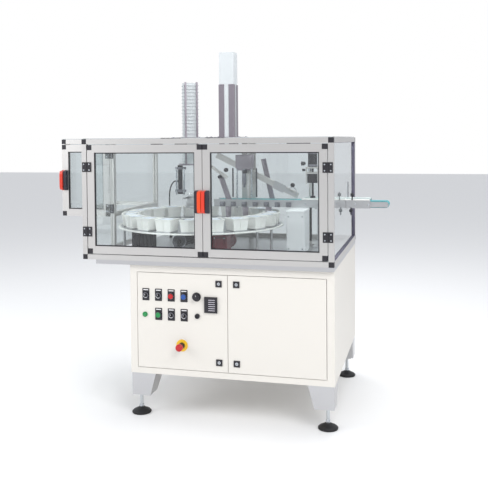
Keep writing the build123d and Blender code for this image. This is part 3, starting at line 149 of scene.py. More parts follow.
# Black rubber: pads, seals and the hose
rubber_black, shader = new_material("rubber_black", Base_Color=linear("#18181A"), Roughness=0.65, IOR=1.52)
surface_grain(rubber_black, shader, 2, 0.15)

# Dark red machinery enamel
enamel_red, shader = new_material("enamel_dark_red", Base_Color=linear("#7A1E30"), Roughness=0.35, IOR=1.5)
surface_grain(enamel_red, shader, 5, 0.15)

# Dark grey enamel on the cast motor body
enamel_grey, shader = new_material("enamel_dark_grey", Base_Color=linear("#34343A"), Roughness=0.4, IOR=1.5)
surface_grain(enamel_grey, shader, 4, 0.2)

# Teal belt: a woven polyurethane strip with a fine texture across it
belt_teal, shader = new_material("polyurethane_teal", Base_Color=linear("#4FA6AC"), Roughness=0.55, IOR=1.5)
surface_grain(belt_teal, shader, 2, 0.3)

# White polypropylene tubs
polypropylene, shader = new_material("polypropylene_white", Base_Color=linear("#ECEBE8"), Roughness=0.35, IOR=1.49)
shader.inputs["Subsurface Weight"].default_value = 0.1
shader.inputs["Subsurface Radius"].default_value = (0.003, 0.003, 0.003)
surface_grain(polypropylene, shader, 5, 0.05)

# Stacked cartons and nested tubs: translucent edges, drawn as level layers 6 mm apart
stack_layers, shader = new_material("polypropylene_stack", Base_Color=linear("#DDE2E4"), Roughness=0.4, IOR=1.49)
place = add_node(stack_layers, "ShaderNodeTexCoord")
wave = add_node(
    stack_layers,
    "ShaderNodeTexWave",
    {"wave_type": "BANDS", "bands_direction": "Z", "Scale": 2 * math.pi / 20 / (6 * MM), "Distortion": 0.3},
    Vector=place.outputs["Object"],
)
bump = add_node(stack_layers, "ShaderNodeBump", {"Strength": 0.5, "Distance": 0.6 * MM}, Height=wave.outputs["Fac"])
stack_layers.node_tree.links.new(bump.outputs["Normal"], shader.inputs["Normal"])
tone = add_node(
    stack_layers,
    "ShaderNodeMix",
    {"data_type": "RGBA"},
    Factor=wave.outputs["Fac"],
)
tone.inputs[6].default_value = linear("#C9D0D3")
tone.inputs[7].default_value = linear("#E9ECED")
stack_layers.node_tree.links.new(tone.outputs[2], shader.inputs["Base Color"])

# Moulded ABS caps
abs_red, shader = new_material("abs_orange_red", Base_Color=linear("#D8391F"), Roughness=0.3, IOR=1.54)
surface_grain(abs_red, shader, 3, 0.06)
abs_button_red, shader = new_material("abs_signal_red", Base_Color=linear("#B8141C"), Roughness=0.28, IOR=1.54)
surface_grain(abs_button_red, shader, 3, 0.06)
abs_blue, shader = new_material("abs_blue", Base_Color=linear("#1F4E9A"), Roughness=0.28, IOR=1.54)
surface_grain(abs_blue, shader, 3, 0.06)
abs_green, shader = new_material("abs_green", Base_Color=linear("#1E8A4A"), Roughness=0.28, IOR=1.54)
surface_grain(abs_green, shader, 3, 0.06)
abs_yellow, shader = new_material("abs_yellow", Base_Color=linear("#E8B81E"), Roughness=0.35, IOR=1.54)
surface_grain(abs_yellow, shader, 3, 0.06)


abs_white, shader = new_material("abs_white", Base_Color=linear("#E9E9EA"), Roughness=0.35, IOR=1.54)
surface_grain(abs_white, shader, 3, 0.06)
abs_pale_grey, shader = new_material("abs_pale_grey", Base_Color=linear("#B9B6BE"), Roughness=0.4, IOR=1.54)
surface_grain(abs_pale_grey, shader, 3, 0.06)

# Blackened steel on bolts and rods
steel_black, shader = new_material("steel_blackened", Base_Color=linear("#34323A"), Metallic=0.7, Roughness=0.38)
surface_grain(steel_black, shader, 3, 0.1)

# Dull zinc plate on small fittings: darker than the bright spindles
zinc_dark, shader = new_material("zinc_plate_dull", Base_Color=linear("#85858C"), Metallic=0.85, Roughness=0.4)
grain = surface_grain(zinc_dark, shader, 6, 0.08)
vary(zinc_dark, shader, grain, "Roughness", 0.34, 0.48)

# Stainless sheet seen against the light: warmer and darker than the deck
stainless_dark, shader = new_material("stainless_shaded", Base_Color=linear("#99929A"), Metallic=0.8, Roughness=0.38)
grain = surface_grain(stainless_dark, shader, 3, 0.2, stretch=(1, 1, 0.04), detail=4)
vary(stainless_dark, shader, grain, "Roughness", 0.3, 0.44)

# Violet grey painted shade round the right opening: thin strips on the rear post's face and the rails, where they lie
# in shade
violet_painted_shade, shader = new_material("painted_shade_violet_grey", Base_Color=linear("#5B5769"), Roughness=0.6, IOR=1.52)
surface_grain(violet_painted_shade, shader, 2, 0.15)

# Sealing film on the tubs: a slightly blue white with a gloss
tub_film, shader = new_material("film_blue_white", Base_Color=linear("#DDE3F0"), Roughness=0.18, IOR=1.5)
surface_grain(tub_film, shader, 9, 0.2)


def two_tone(name, axis, limit, below, above, roughness, metal):
    """A finish that changes at one plane: below and above are hex colours, roughness and metal are pairs."""
    material, shader = new_material(name, IOR=1.5)
    place = add_node(material, "ShaderNodeTexCoord")
    split = add_node(material, "ShaderNodeSeparateXYZ", Vector=place.outputs["Object"])
    side = add_node(
        material,
        "ShaderNodeMath",
        {"operation": "GREATER_THAN"},
    )
    side.inputs[1].default_value = limit
    material.node_tree.links.new(split.outputs[axis], side.inputs[0])
    tone = add_node(material, "ShaderNodeMix", {"data_type": "RGBA"})
    material.node_tree.links.new(side.outputs[0], tone.inputs[0])
    tone.inputs[6].default_value = linear(below)
    tone.inputs[7].default_value = linear(above)
    material.node_tree.links.new(tone.outputs[2], shader.inputs["Base Color"])
    for socket, (low, high) in (("Roughness", roughness), ("Metallic", metal)):
        spread = add_node(material, "ShaderNodeMapRange", {"To Min": low, "To Max": high})
        material.node_tree.links.new(side.outputs[0], spread.inputs["Value"])
        material.node_tree.links.new(spread.outputs["Result"], shader.inputs[socket])
    return material


# Foot: a moulded black pad under a bright zinc spindle
foot_two_tone = two_tone("nylon_pad_zinc_spindle", "Z", 0.036, "#1B1B1D", "#C4C8CC", (0.5, 0.25), (0.0, 1.0))

# Bow handles: a red grip beside a black block, parted at one upright plane. The left handle's orange grip is a
# painted highlight: a lit copy of the red on the other grips.
handle_left_painted_highlight = two_tone("abs_handle_left_painted_highlight", "X", -0.1545, "#26222C", "#E2491C", (0.45, 0.3), (0.0, 0.0))
handle_right = two_tone("abs_handle_right", "X", -0.1115, "#D63A26", "#2C2834", (0.3, 0.45), (0.0, 0.0))
handle_side = two_tone("abs_handle_side", "X", -1.1935, "#D63A26", "#2C2834", (0.3, 0.45), (0.0, 0.0))

finishes = {
    powder_cream: ["cabinet_shell", "cabinet_door_left", "cabinet_door_right"],
    powder_white: ["belt_drive_cover"],
    stainless: [
        "legs",
        "table_plate",
        "table_drive",
        "belt_frame",
        "turntable_disc",
        "roller_tail",
        "roller_head",
        "transfer_carriage",
    ],
    anodised: ["guard_profiles", "door_left_frame", "door_right_frame", "side_door_frame", "station_frames"],
    zinc: ["electrical_plate", "lock_left_lower", "lock_left_upper", "lock_right_lower", "lock_right_upper"],
    polycarbonate: ["fixed_panes", "right_pane", "roof_sheet", "door_left_pane", "door_right_pane", "side_door_pane"],
    nylon_black: [
        "guard_fittings",
        "door_left_fittings",
        "door_right_fittings",
        "side_door_fittings",
        "panel_fittings",
        "cylinders_and_valves",
        "press_head",
        "selector_one",
        "selector_two",
        "selector_three",
        "selector_four",
        "speed_knob",
    ],
    rubber_black: ["air_hose"],
    enamel_red: ["gearmotor"],
    enamel_grey: ["table_motor"],
    belt_teal: ["outfeed_belt"],
    polypropylene: ["tubs"],
    stack_layers: ["magazine_stacks"],
    stainless_dark: ["magazine_guides"],
    handle_left_painted_highlight: ["door_left_handle"],
    handle_right: ["door_right_handle"],
    handle_side: ["side_door_handle"],
    abs_button_red: ["button_red", "estop_button"],
    abs_blue: ["button_blue"],
    abs_green: ["button_green", "pilot_lamp"],
    abs_yellow: ["estop_plate"],
    foot_two_tone: ["foot_front_left", "foot_front_right", "foot_rear_left", "foot_rear_right"],
}
for finish_material, names in finishes.items():
    for node_name in names:
        mesh = nodes[node_name].data
        mesh.materials.clear()
        mesh.materials.append(finish_material)


# Pieces: helpers


def alone(piece):
    """Makes the piece the only one selected, and active."""
    bpy.ops.object.select_all(action="DESELECT")
    piece.select_set(True)
    bpy.context.view_layer.objects.active = piece


def settled(name):
    """Names the primitive just added and puts its place and size into its mesh."""
    piece = bpy.context.object
    piece.name = name
    piece.data.name = name
    bpy.ops.object.transform_apply(location=True, rotation=True, scale=True)
    return piece


def start_block(name, low, high):
    """A block between two corners in mm, as the start of a piece."""
    bpy.ops.object.select_all(action="DESELECT")
    centre = [(a + b) / 2 * MM for a, b in zip(low, high)]
    bpy.ops.mesh.primitive_cube_add(size=1, location=centre)
    bpy.context.object.scale = [(b - a) * MM for a, b in zip(low, high)]
    return settled(name)


def start_round(name, centre, axis, radius, depth, sides=24):
    """A round piece in mm along an axis, as the start of a piece."""
    bpy.ops.object.select_all(action="DESELECT")
    turn = {"X": (0, math.pi / 2, 0), "Y": (math.pi / 2, 0, 0), "Z": (0, 0, 0)}[axis]
    bpy.ops.mesh.primitive_cylinder_add(
        vertices=sides,
        radius=radius * MM,
        depth=depth * MM,
        location=[c * MM for c in centre],
        rotation=turn,
    )
    return settled(name)


def facing(piece, direction):
    """Goes to edit mode with the faces selected that look along the direction."""
    alone(piece)
    bpy.ops.object.mode_set(mode="EDIT")
    bpy.ops.mesh.select_mode(type="FACE")
    bpy.ops.mesh.select_all(action="DESELECT")
    bpy.ops.object.mode_set(mode="OBJECT")
    for polygon in piece.data.polygons:
        polygon.select = polygon.normal.dot(Vector(direction)) > 0.99
    bpy.ops.object.mode_set(mode="EDIT")


def step_face(piece, direction, inset, depth):
    """Insets the faces that look along the direction and moves the inner part: out for a positive depth."""
    facing(piece, direction)
    bpy.ops.mesh.inset(thickness=inset * MM)
    bpy.ops.mesh.extrude_region_move(TRANSFORM_OT_translate={"value": Vector(direction) * depth * MM})
    bpy.ops.object.mode_set(mode="OBJECT")


def narrow_face(piece, direction, share):
    """Scales the faces that look along the direction about their own middle."""
    facing(piece, direction)
    bpy.ops.transform.resize(value=(share, share, share))
    bpy.ops.object.mode_set(mode="OBJECT")


def round_edges(piece, width, segments=2):
    """Rounds every sharp edge by width mm."""
    alone(piece)
    bpy.ops.object.modifier_add(type="BEVEL")
    bevel = piece.modifiers[-1]
    bevel.width = width * MM
    bevel.segments = segments
    bevel.angle_limit = math.radians(40)
    bpy.ops.object.modifier_apply(modifier=bevel.name)


def moved(piece, offset=(0, 0, 0), about=(0, 0, 0), axis="Z", degrees=0):
    """Turns the piece's mesh about a place in mm, then shifts it by the offset in mm."""
    pivot = Vector(about) * MM
    turn = Matrix.Rotation(math.radians(degrees), 4, axis)
    shift = Matrix.Translation(Vector(offset) * MM)
    piece.data.transform(shift @ Matrix.Translation(pivot) @ turn @ Matrix.Translation(-pivot))
    return piece


def copied(piece, name, offset=(0, 0, 0), **turn):
    """A copy with its own mesh, moved."""
    twin = piece.copy()
    twin.data = piece.data.copy()
    twin.name = name
    bpy.context.collection.objects.link(twin)
    return moved(twin, offset, **turn)


def joined(name, pieces):
    """Several pieces as one object."""
    bpy.ops.object.select_all(action="DESELECT")
    for piece in pieces:
        piece.select_set(True)
    bpy.context.view_layer.objects.active = pieces[0]
    bpy.ops.object.join()
    pieces[0].name = name
    return pieces[0]


def laid_out(piece, places):
    """The piece, drawn at the origin, copied to each place in mm and joined."""
    name = piece.name
    group = [copied(piece, f"{name}_copy", place) for place in places]
    bpy.data.objects.remove(piece)
    return joined(name, group)


def dress(piece, material, body="base"):
    """Gives the piece its finish and the body that it moves with."""
    alone(piece)
    bpy.ops.object.shade_smooth_by_angle(angle=math.radians(35))
    piece.data.materials.clear()
    piece.data.materials.append(material)
    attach(piece, body)
    return piece


FRONT = (0, -1, 0)
BACK = (0, 1, 0)
LEFT = (-1, 0, 0)
RIGHT = (1, 0, 0)
UP = (0, 0, 1)
DOWN = (0, 0, -1)
CABINET_FRONT = -557
GUARD_FRONT = -587
TABLE_TOP = 929


# Panel: lock covers, legend strips, pointer marks, caps and the display


def lock_cover(name, x, z, body):
    """A black square cover round a quarter turn lock, with a round-cornered well for the barrel."""
    cover = start_block(name, (x - 18.5, CABINET_FRONT - 4.8, z - 18.5), (x + 18.5, CABINET_FRONT - 0.1, z + 18.5))
    step_face(cover, FRONT, 6.5, -1.5)
    round_edges(cover, 0.9)
    dress(cover, nylon_black, body)


for lock_z, lock_height in ((355, "lower"), (808, "upper")):
    lock_cover(f"lock_cover_left_{lock_height}", -50.5, lock_z, "panel_door")
    lock_cover(f"lock_cover_right_{lock_height}", 53.5, lock_z, "service_door")

column_x = [-494.05, -415.76, -337.48, -259.19]
UPPER_ROW = 730
LOWER_ROW = 618
plate_places = [(x, UPPER_ROW) for x in column_x] + [(x, LOWER_ROW) for x in column_x[1:]]
selector_at = {
    "selector_one": (column_x[0], UPPER_ROW),
    "selector_two": (column_x[1], UPPER_ROW),
    "selector_three": (column_x[2], LOWER_ROW),
    "selector_four": (column_x[3], LOWER_ROW),
}

legend = start_block("legend_strips", (-15, -0.5, -2.5), (15, 0, 2.5))
step_face(legend, FRONT, 0.6, 0.15)
round_edges(legend, 0.2)
legend = laid_out(legend, [(x, CABINET_FRONT - 2.05, z + 27) for x, z in plate_places])
dress(legend, abs_white, "panel_door")

plate_screw = start_round("legend_plate_frames", (0, 0, 0), "Y", 16.8, 1.6, 32)
step_face(plate_screw, FRONT, 1.6, -0.6)
round_edges(plate_screw, 0.25)
plate_screw = laid_out(plate_screw, [(x, CABINET_FRONT - 8.2, z - 4) for x, z in plate_places])
dress(plate_screw, zinc_dark, "panel_door")


def swept_mark(name, centre, radius, width, start, sweep, y):
    """A thin curved mark on a front face, spun about the centre."""
    cx, cz = centre
    mark = start_block(name, (cx + radius, y - 0.3, cz - 0.2), (cx + radius + width, y, cz + 0.2))
    moved(mark, about=(cx, 0, cz), axis="Y", degrees=start)
    alone(mark)
    bpy.ops.object.mode_set(mode="EDIT")
    bpy.ops.mesh.select_mode(type="FACE")
    bpy.ops.mesh.select_all(action="DESELECT")
    bpy.ops.object.mode_set(mode="OBJECT")
    tangent = Matrix.Rotation(math.radians(start), 3, "Y") @ Vector(UP)
    for polygon in mark.data.polygons:
        polygon.select = polygon.normal.dot(tangent) > 0.99
    bpy.ops.object.mode_set(mode="EDIT")
    bpy.ops.mesh.spin(
        steps=10,
        angle=math.radians(sweep),
        center=(cx * MM, y * MM, cz * MM),
        axis=(0, -1, 0),
    )
    bpy.ops.mesh.select_all(action="SELECT")
    bpy.ops.mesh.remove_doubles(threshold=0.00001)
    bpy.ops.mesh.normals_make_consistent(inside=False)
    bpy.ops.object.mode_set(mode="OBJECT")
    return mark


for name, (x, z) in selector_at.items():
    mark = swept_mark(f"{name}_scale", (x, z - 4), 12.6, 2.2, 55, 110, CABINET_FRONT - 8.95)
    dress(mark, abs_white, "panel_door")
    pointer = start_block(f"{name}_pointer", (x - 1.1, CABINET_FRONT - 20.6, z - 3), (x + 1.1, CABINET_FRONT - 19.8, z + 5))
    narrow_face(pointer, FRONT, 0.8)
    round_edges(pointer, 0.2)
    dress(pointer, abs_white, f"{name}_body")

for name, place, cap_material in (
    ("button_red", (column_x[2], UPPER_ROW), abs_button_red),
    ("button_blue", (column_x[3], UPPER_ROW), abs_blue),
    ("button_green", (column_x[1], LOWER_ROW), abs_green),
):
    cap = start_round(f"{name}_cap", (place[0], CABINET_FRONT - 14.2, place[1] - 4), "Y", 14.6, 3.4, 40)
    step_face(cap, FRONT, 2.4, -0.9)
    round_edges(cap, 0.7, 3)
    dress(cap, cap_material, f"{name}_body")

lamp_rim = start_round("pilot_lamp_rim", (-500.05, CABINET_FRONT - 2.4, 612), "Y", 15.4, 4.6, 40)
step_face(lamp_rim, FRONT, 2.2, -0.5)
round_edges(lamp_rim, 0.5)
dress(lamp_rim, abs_green, "panel_door")

meter_bar = start_block("display_lines", (-19, -0.6, -1.9), (19, 1.6, 1.9))
step_face(meter_bar, FRONT, 0.5, 0.2)
round_edges(meter_bar, 0.3)
meter_bar = laid_out(meter_bar, [(-90.6, CABINET_FRONT - 11.8, 715 - 12 * row) for row in range(6)])
dress(meter_bar, abs_pale_grey, "panel_door")
meter_bezel = start_block("display_bezel", (-136.4, CABINET_FRONT - 4, 639.2), (-58.8, CABINET_FRONT - 0.1, 730.8))
step_face(meter_bezel, FRONT, 1.2, 0.6)
round_edges(meter_bezel, 1.2)
dress(meter_bezel, nylon_black, "panel_door")

socket_ring = start_round("service_socket_ring", (-178.9, CABINET_FRONT - 0.9, 617), "Y", 13.2, 1.5, 40)
step_face(socket_ring, FRONT, 2.0, 0.9)
round_edges(socket_ring, 0.4)
socket_hole = start_round("service_socket_core", (-178.9, CABINET_FRONT - 2.2, 617), "Y", 6.2, 1.5, 24)
step_face(socket_hole, FRONT, 1.2, -1.0)
socket_ring = joined("service_socket_ring", [socket_ring, socket_hole])
dress(socket_ring, nylon_black, "panel_door")

knob_mark = start_block("speed_knob_pointer", (-184, CABINET_FRONT - 25.3, 733), (-181.8, CABINET_FRONT - 24.4, 741))
narrow_face(knob_mark, FRONT, 0.8)
round_edges(knob_mark, 0.2)
dress(knob_mark, abs_white, "speed_knob_body")
knob_skirt = start_round("speed_knob_skirt", (-182.9, CABINET_FRONT - 3.6, 728), "Y", 26, 5.2, 48)
step_face(knob_skirt, FRONT, 3.0, 1.6)
round_edges(knob_skirt, 0.8)
dress(knob_skirt, nylon_black, "speed_knob_body")

ESTOP = (-274.33, 441)
collar = start_round("estop_collar", (ESTOP[0], CABINET_FRONT - 18, ESTOP[1]), "Y", 18.2, 33, 40)
step_face(collar, FRONT, 3.0, -1.5)
round_edges(collar, 0.8)
dress(collar, nylon_black, "panel_door")
mushroom = start_round("estop_mushroom_cap", (ESTOP[0], CABINET_FRONT - 53, ESTOP[1]), "Y", 24.5, 15, 48)
narrow_face(mushroom, BACK, 0.86)
step_face(mushroom, FRONT, 5, 2.6)
narrow_face(mushroom, FRONT, 0.8)
round_edges(mushroom, 1.6, 3)
dress(mushroom, abs_button_red, "estop_button_body")
plate_rim = start_round("estop_plate_rim", (ESTOP[0], CABINET_FRONT - 1.3, ESTOP[1]), "Y", 35, 2.2, 56)
step_face(plate_rim, FRONT, 3, 0.5)
round_edges(plate_rim, 0.4)
dress(plate_rim, abs_yellow, "panel_door")


# Guard: hinge screws, cube caps, door catches, and violet painted shade strips on the post and rails of the right
# opening

HINGE_FACE = GUARD_FRONT - 5
door_hinge_z = (1093.5, 1474.5)
left_hinge_x = -845.75
right_hinge_x = 579.75
SIDE_HINGE_X = -879.25
SIDE_HINGE_FACE = -207
side_hinge_z = (1192, 1542.5)


def hinge_screws(name, xs, face_y, zs, body):
    """Socket head screws on hinge leaves, two to a leaf."""
    screw = start_round(name, (0, 0, 0), "Y", 4.2, 1.6, 18)
    step_face(screw, FRONT, 1.9, -0.9)
    round_edges(screw, 0.3)
    places = [(x, face_y - 0.8, z + dz) for x in xs for z in zs for dz in (-17, 17)]
    dress(laid_out(screw, places), zinc, body)


hinge_screws("hinge_screws_fixed", (left_hinge_x - 17, right_hinge_x + 17), HINGE_FACE, door_hinge_z, "base")
hinge_screws("hinge_screws_door_left", (left_hinge_x + 17,), HINGE_FACE, door_hinge_z, "guard_door_left")
hinge_screws("hinge_screws_door_right", (right_hinge_x - 17,), HINGE_FACE, door_hinge_z, "guard_door_right")
hinge_screws("hinge_screws_side_fixed", (SIDE_HINGE_X + 17,), SIDE_HINGE_FACE, side_hinge_z, "base")
hinge_screws("hinge_screws_side_door", (SIDE_HINGE_X - 17,), SIDE_HINGE_FACE, side_hinge_z, "guard_side_door")

cap = start_round("corner_cube_caps", (0, 0, 0), "Y", 7.5, 1.2, 24)
step_face(cap, FRONT, 2.2, -0.5)
round_edges(cap, 0.3)
cube_places = [(x, GUARD_FRONT - 0.4, z) for x in (-863, 597) for z in (944, 1624)]
cap = laid_out(cap, cube_places)
dress(cap, nylon_black)

catch = start_block("door_catches", (-33, 0, -1.7), (33, 22, 1.7))
step_face(catch, FRONT, 0.6, 0.4)
round_edges(catch, 0.5)
top_places = [(x, GUARD_FRONT + 0.6, 1606.8) for x in (-263, -409, 387, 450)]
low_places = [(x, GUARD_FRONT + 0.6, 961.2) for x in (-216, -52)]
catch = laid_out(catch, top_places + low_places)
dress(catch, nylon_black)

# Thin violet strips on the rear post's face and on the tops and undersides of the rails: painted shade, not seals
shade_strip_parts = [
    start_block("shade_strip_post", (583, 551.2, 960), (611, 552.9, 1608)),
    start_block("shade_strip_sill_out", (600.2, -556, 959.1), (611.4, 551, 960.6)),
    start_block("shade_strip_sill_in", (582.6, -556, 959.1), (593.8, 551, 960.6)),
    start_block("shade_strip_head_out", (600.2, -556, 1607.2), (611.4, 551, 1608.9)),
    start_block("shade_strip_head_in", (582.6, -556, 1607.2), (593.8, 551, 1608.9)),
]
shade_strips = joined("right_opening_painted_shade", shade_strip_parts)
round_edges(shade_strips, 0.5)
dress(shade_strips, violet_painted_shade)


# Feet: clamp screws, lock nuts and pad rings

for foot_name, fx, fy in (
    ("foot_front_left", -561, -478),
    ("foot_front_right", 561, -478),
    ("foot_rear_left", -561, 478),
    ("foot_rear_right", 561, 478),
):
    pad_nut = start_round(f"{foot_name}_pad_nut", (fx, fy, 45), "Z", 15, 10, 6)
    narrow_face(pad_nut, UP, 0.92)
    round_edges(pad_nut, 0.8)
    dress(pad_nut, zinc, f"{foot_name}_body")
    pad_ring = start_round(f"{foot_name}_pad_ring", (fx, fy, 6.2), "Z", 57.5, 5, 56)
    step_face(pad_ring, UP, 3, 2.2)
    round_edges(pad_ring, 1.2)
    dress(pad_ring, rubber_black, f"{foot_name}_body")

foot_bolt = start_round("foot_plate_bolts", (0, 0, 0), "Z", 6, 9, 6)
step_face(foot_bolt, DOWN, 1.2, 4)
round_edges(foot_bolt, 0.5)
bolt_places = [
    (fx + dx, fy, 125.4)
    for fx in (-561, 561)
    for fy in (-478, 478)
    for dx in (-22, 22)
]
foot_bolt = laid_out(foot_bolt, bolt_places)
dress(foot_bolt, steel_black)


# Stations: clamps, brackets and guide parts over the belt


def slanted_bar(name, start, end, y0, y1, width, material, edge=1.0):
    """A flat bar between two places in the X and Z plane, with a raised web on its front."""
    length = math.hypot(end[0] - start[0], end[1] - start[1])
    tilt = math.degrees(math.atan2(end[0] - start[0], start[1] - end[1]))
    low = (start[0] - width / 2, y0, start[1] - length)
    bar = start_block(name, low, (start[0] + width / 2, y1, start[1]))
    step_face(bar, FRONT, width * 0.22, -(y1 - y0) * 0.25)
    round_edges(bar, edge)
    moved(bar, about=(start[0], 0, start[1]), axis="Y", degrees=-tilt)
    dress(bar, material)
    return bar


slanted_bar("drop_arm_upper", (-300, 1455), (-185, 1378), 120, 134, 20, anodised)
slanted_bar("drop_arm_lower", (-232, 1382), (-163, 1190), 134, 150, 34, stainless_dark, 1.5)
slanted_bar("carton_slide_plate", (36, 1500), (104, 1190), 236, 242, 34, stainless_dark, 1.5)


def knob(name, centre, axis, radius, depth, material):
    """A clamp knob: a ribbed body with a raised hub."""
    body = start_round(name, centre, axis, radius, depth, 12)
    direction = {"X": RIGHT, "Y": FRONT, "Z": UP}[axis]
    step_face(body, direction, radius * 0.35, depth * 0.3)
    narrow_face(body, direction, 0.85)
    round_edges(body, radius * 0.08)
    dress(body, material)
    return body


knob("drop_arm_clamp", (-190, 112, 1430), "Y", 15, 20, nylon_black)
knob("drop_arm_pivot", (-236, 126, 1384), "Y", 13, 30, steel_black)
knob("carton_gate_knob", (-60, 108, 1420), "Y", 15, 22, nylon_black)
knob("rail_end_knob", (253, 128, 1332), "Y", 15, 18, nylon_black)
knob("press_clamp_knob", (318, 150, 1472), "X", 14, 22, nylon_black)
knob("press_adjuster_knob", (322, 150, 1430), "X", 9, 16, nylon_black)

for number, (x, z0, z1, radius) in enumerate(((-146, 1252, 1440, 5), (-118, 1180, 1500, 6), (-20, 1252, 1500, 6), (14, 1252, 1440, 5))):
    rod = start_round(f"station_rod_{number + 1}", (x, 126, (z0 + z1) / 2), "Z", radius, z1 - z0, 20)
    step_face(rod, UP, 1.2, 3)
    round_edges(rod, 0.6)
    dress(rod, steel_black if number % 3 == 0 else zinc)

gate = start_block("carton_gate_housing", (-126, 118, 1440), (-6, 150, 1530))
step_face(gate, FRONT, 10, 6)
step_face(gate, DOWN, 8, 14)
round_edges(gate, 1.5)
dress(gate, stainless_dark)
gate_cylinder = start_round("carton_gate_cylinder", (-66, 112, 1384), "Z", 14, 96, 28)
step_face(gate_cylinder, UP, 4, 8)
step_face(gate_cylinder, DOWN, 5, 20)
round_edges(gate_cylinder, 1)
dress(gate_cylinder, zinc_dark)

belt_clamp = start_block("belt_side_clamps", (-17, -9, -16), (17, 0, 16))
step_face(belt_clamp, FRONT, 5, 4)
step_face(belt_clamp, FRONT, 3, 3)
round_edges(belt_clamp, 0.8)
belt_clamp = laid_out(belt_clamp, [(x, 112.6, 1206) for x in (-214, -140, -66, 8, 82, 156, 230)])
dress(belt_clamp, zinc_dark)

under_plate = start_block("belt_hanger_plates", (-20, -3, -75), (20, 3, 0))
step_face(under_plate, FRONT, 6, 2)
narrow_face(under_plate, DOWN, 0.8)
round_edges(under_plate, 0.8)
under_plate = laid_out(under_plate, [(x, 118, 1190) for x in (-176, -60, 96)])
dress(under_plate, stainless_dark)

outlet_post = start_round("outlet_clamp_posts", (0, 0, 0), "Z", 4, 46, 16)
step_face(outlet_post, UP, 1.2, 3)
round_edges(outlet_post, 0.6)
outlet_post = laid_out(outlet_post, [(640, 98, 1266), (632, 98, 1170)])
dress(outlet_post, steel_black)
outlet_clamp = start_block("outlet_clamps", (-10, -8, -9), (10, 8, 9))
step_face(outlet_clamp, FRONT, 3, 5)
round_edges(outlet_clamp, 1)
outlet_clamp = laid_out(outlet_clamp, [(640, 98, 1276), (632, 98, 1176)])
dress(outlet_clamp, nylon_black)

EDGE_X0 = 318
EDGE_X1 = 748
guide_edge = joined(
    "belt_guide_edges",
    [
        start_block("guide_edge_front", (EDGE_X0, 102.6, 1241), (EDGE_X1, 114.4, 1249.4)),
        start_block("guide_edge_rear", (EDGE_X0, 231.6, 1241), (EDGE_X1, 243.4, 1249.4)),
    ],
)
step_face(guide_edge, UP, 2.5, -0.8)
round_edges(guide_edge, 1.2, 3)
dress(guide_edge, polypropylene)

guide_bolt = start_round("belt_guide_bolts", (0, 0, 0), "Y", 5.5, 4, 6)
step_face(guide_bolt, FRONT, 1.2, 1.2)
round_edges(guide_bolt, 0.4)
guide_bolt = laid_out(guide_bolt, [(x, 102, 1214) for x in range(340, 750, 80)])
dress(guide_bolt, zinc)

bellows_ribs = []
for number in range(15):
    rib = start_round(f"bellows_rib_{number}", (0, 0, -number * 15), "Z", 13, 15, 20)
    narrow_face(rib, UP, 0.78)
    narrow_face(rib, DOWN, 0.78)
    bellows_ribs.append(rib)
bellows = joined("press_column_bellows", bellows_ribs)
bellows = laid_out(bellows, [(348, 254, 1175), (408, 254, 1175)])
dress(bellows, rubber_black)

column_collar = start_round("press_column_collars", (0, 0, 0), "Z", 14, 12, 28)
step_face(column_collar, UP, 3, 3)
step_face(column_collar, DOWN, 3, 3)
round_edges(column_collar, 0.8)
column_collar = laid_out(column_collar, [(x, 254, z) for x in (348, 408) for z in (1189, 1390, 1430)])
dress(column_collar, zinc)

port = start_round("press_cylinder_caps", (0, 0, 0), "Z", 32, 14, 40)
step_face(port, UP, 6, 4)
round_edges(port, 1.5)
port = laid_out(port, [(378, 173, 1459), (378, 173, 1541)])
dress(port, zinc_dark)
pad_edge = start_round("press_pad_edge", (378, 173, 1252.5), "Z", 18, 9, 36)
narrow_face(pad_edge, UP, 0.8)
round_edges(pad_edge, 1)
dress(pad_edge, rubber_black, "press_head_body")


# Turntable: rim band, hub cap, and film windows in the tubs

band = start_round("turntable_rim_band", (-323, -10, 1082), "Z", 531.5, 8, 160)
step_face(band, UP, 16, -1.2)
round_edges(band, 1.2)
dress(band, polypropylene, "turntable")

hub_cap = start_round("turntable_hub_cap", (-323, -10, 1100), "Z", 120, 30, 48)
narrow_face(hub_cap, UP, 0.85)
step_face(hub_cap, UP, 30, 60)
narrow_face(hub_cap, UP, 0.7)
step_face(hub_cap, UP, 18, -6)
round_edges(hub_cap, 3, 3)
dress(hub_cap, stainless, "turntable")

hub_bolt = start_round("turntable_hub_bolts", (0, 0, 0), "Z", 6, 6, 6)
step_face(hub_bolt, UP, 1.5, -1.5)
round_edges(hub_bolt, 0.5)
bolt_ring = [
    (-323 + 96 * math.cos(math.radians(60 * n)), -10 + 96 * math.sin(math.radians(60 * n)), 1116)
    for n in range(6)
]
hub_bolt = laid_out(hub_bolt, bolt_ring)
dress(hub_bolt, zinc, "turntable")

TUB_COUNT = 20
TUB_CIRCLE = 455
TUB_FIRST = 9


def round_the_table(name, piece):
    """The piece, drawn for the tub at angle 0, copied to every tub and joined."""
    ring = [
        copied(piece, f"{name}_{n}", about=(-323, -10, 0), axis="Z", degrees=TUB_FIRST + n * 360 / TUB_COUNT)
        for n in range(TUB_COUNT)
    ]
    bpy.data.objects.remove(piece)
    return joined(name, ring)


tub_x = -323 + TUB_CIRCLE
lip = start_block("tub_rims", (tub_x - 56, -66, 1158.6), (tub_x + 56, 46, 1164.2))
step_face(lip, UP, 6, -1.8)
round_edges(lip, 1.6, 3)
dress(round_the_table("tub_rims", lip), polypropylene, "turntable")

lid = start_block("tub_lids", (tub_x - 43, -53, 1160.8), (tub_x + 43, 33, 1162.4))
step_face(lid, UP, 9, 1.2)
step_face(lid, UP, 12, -0.8)
round_edges(lid, 0.6)
dress(round_the_table("tub_lids", lid), tub_film, "turntable")

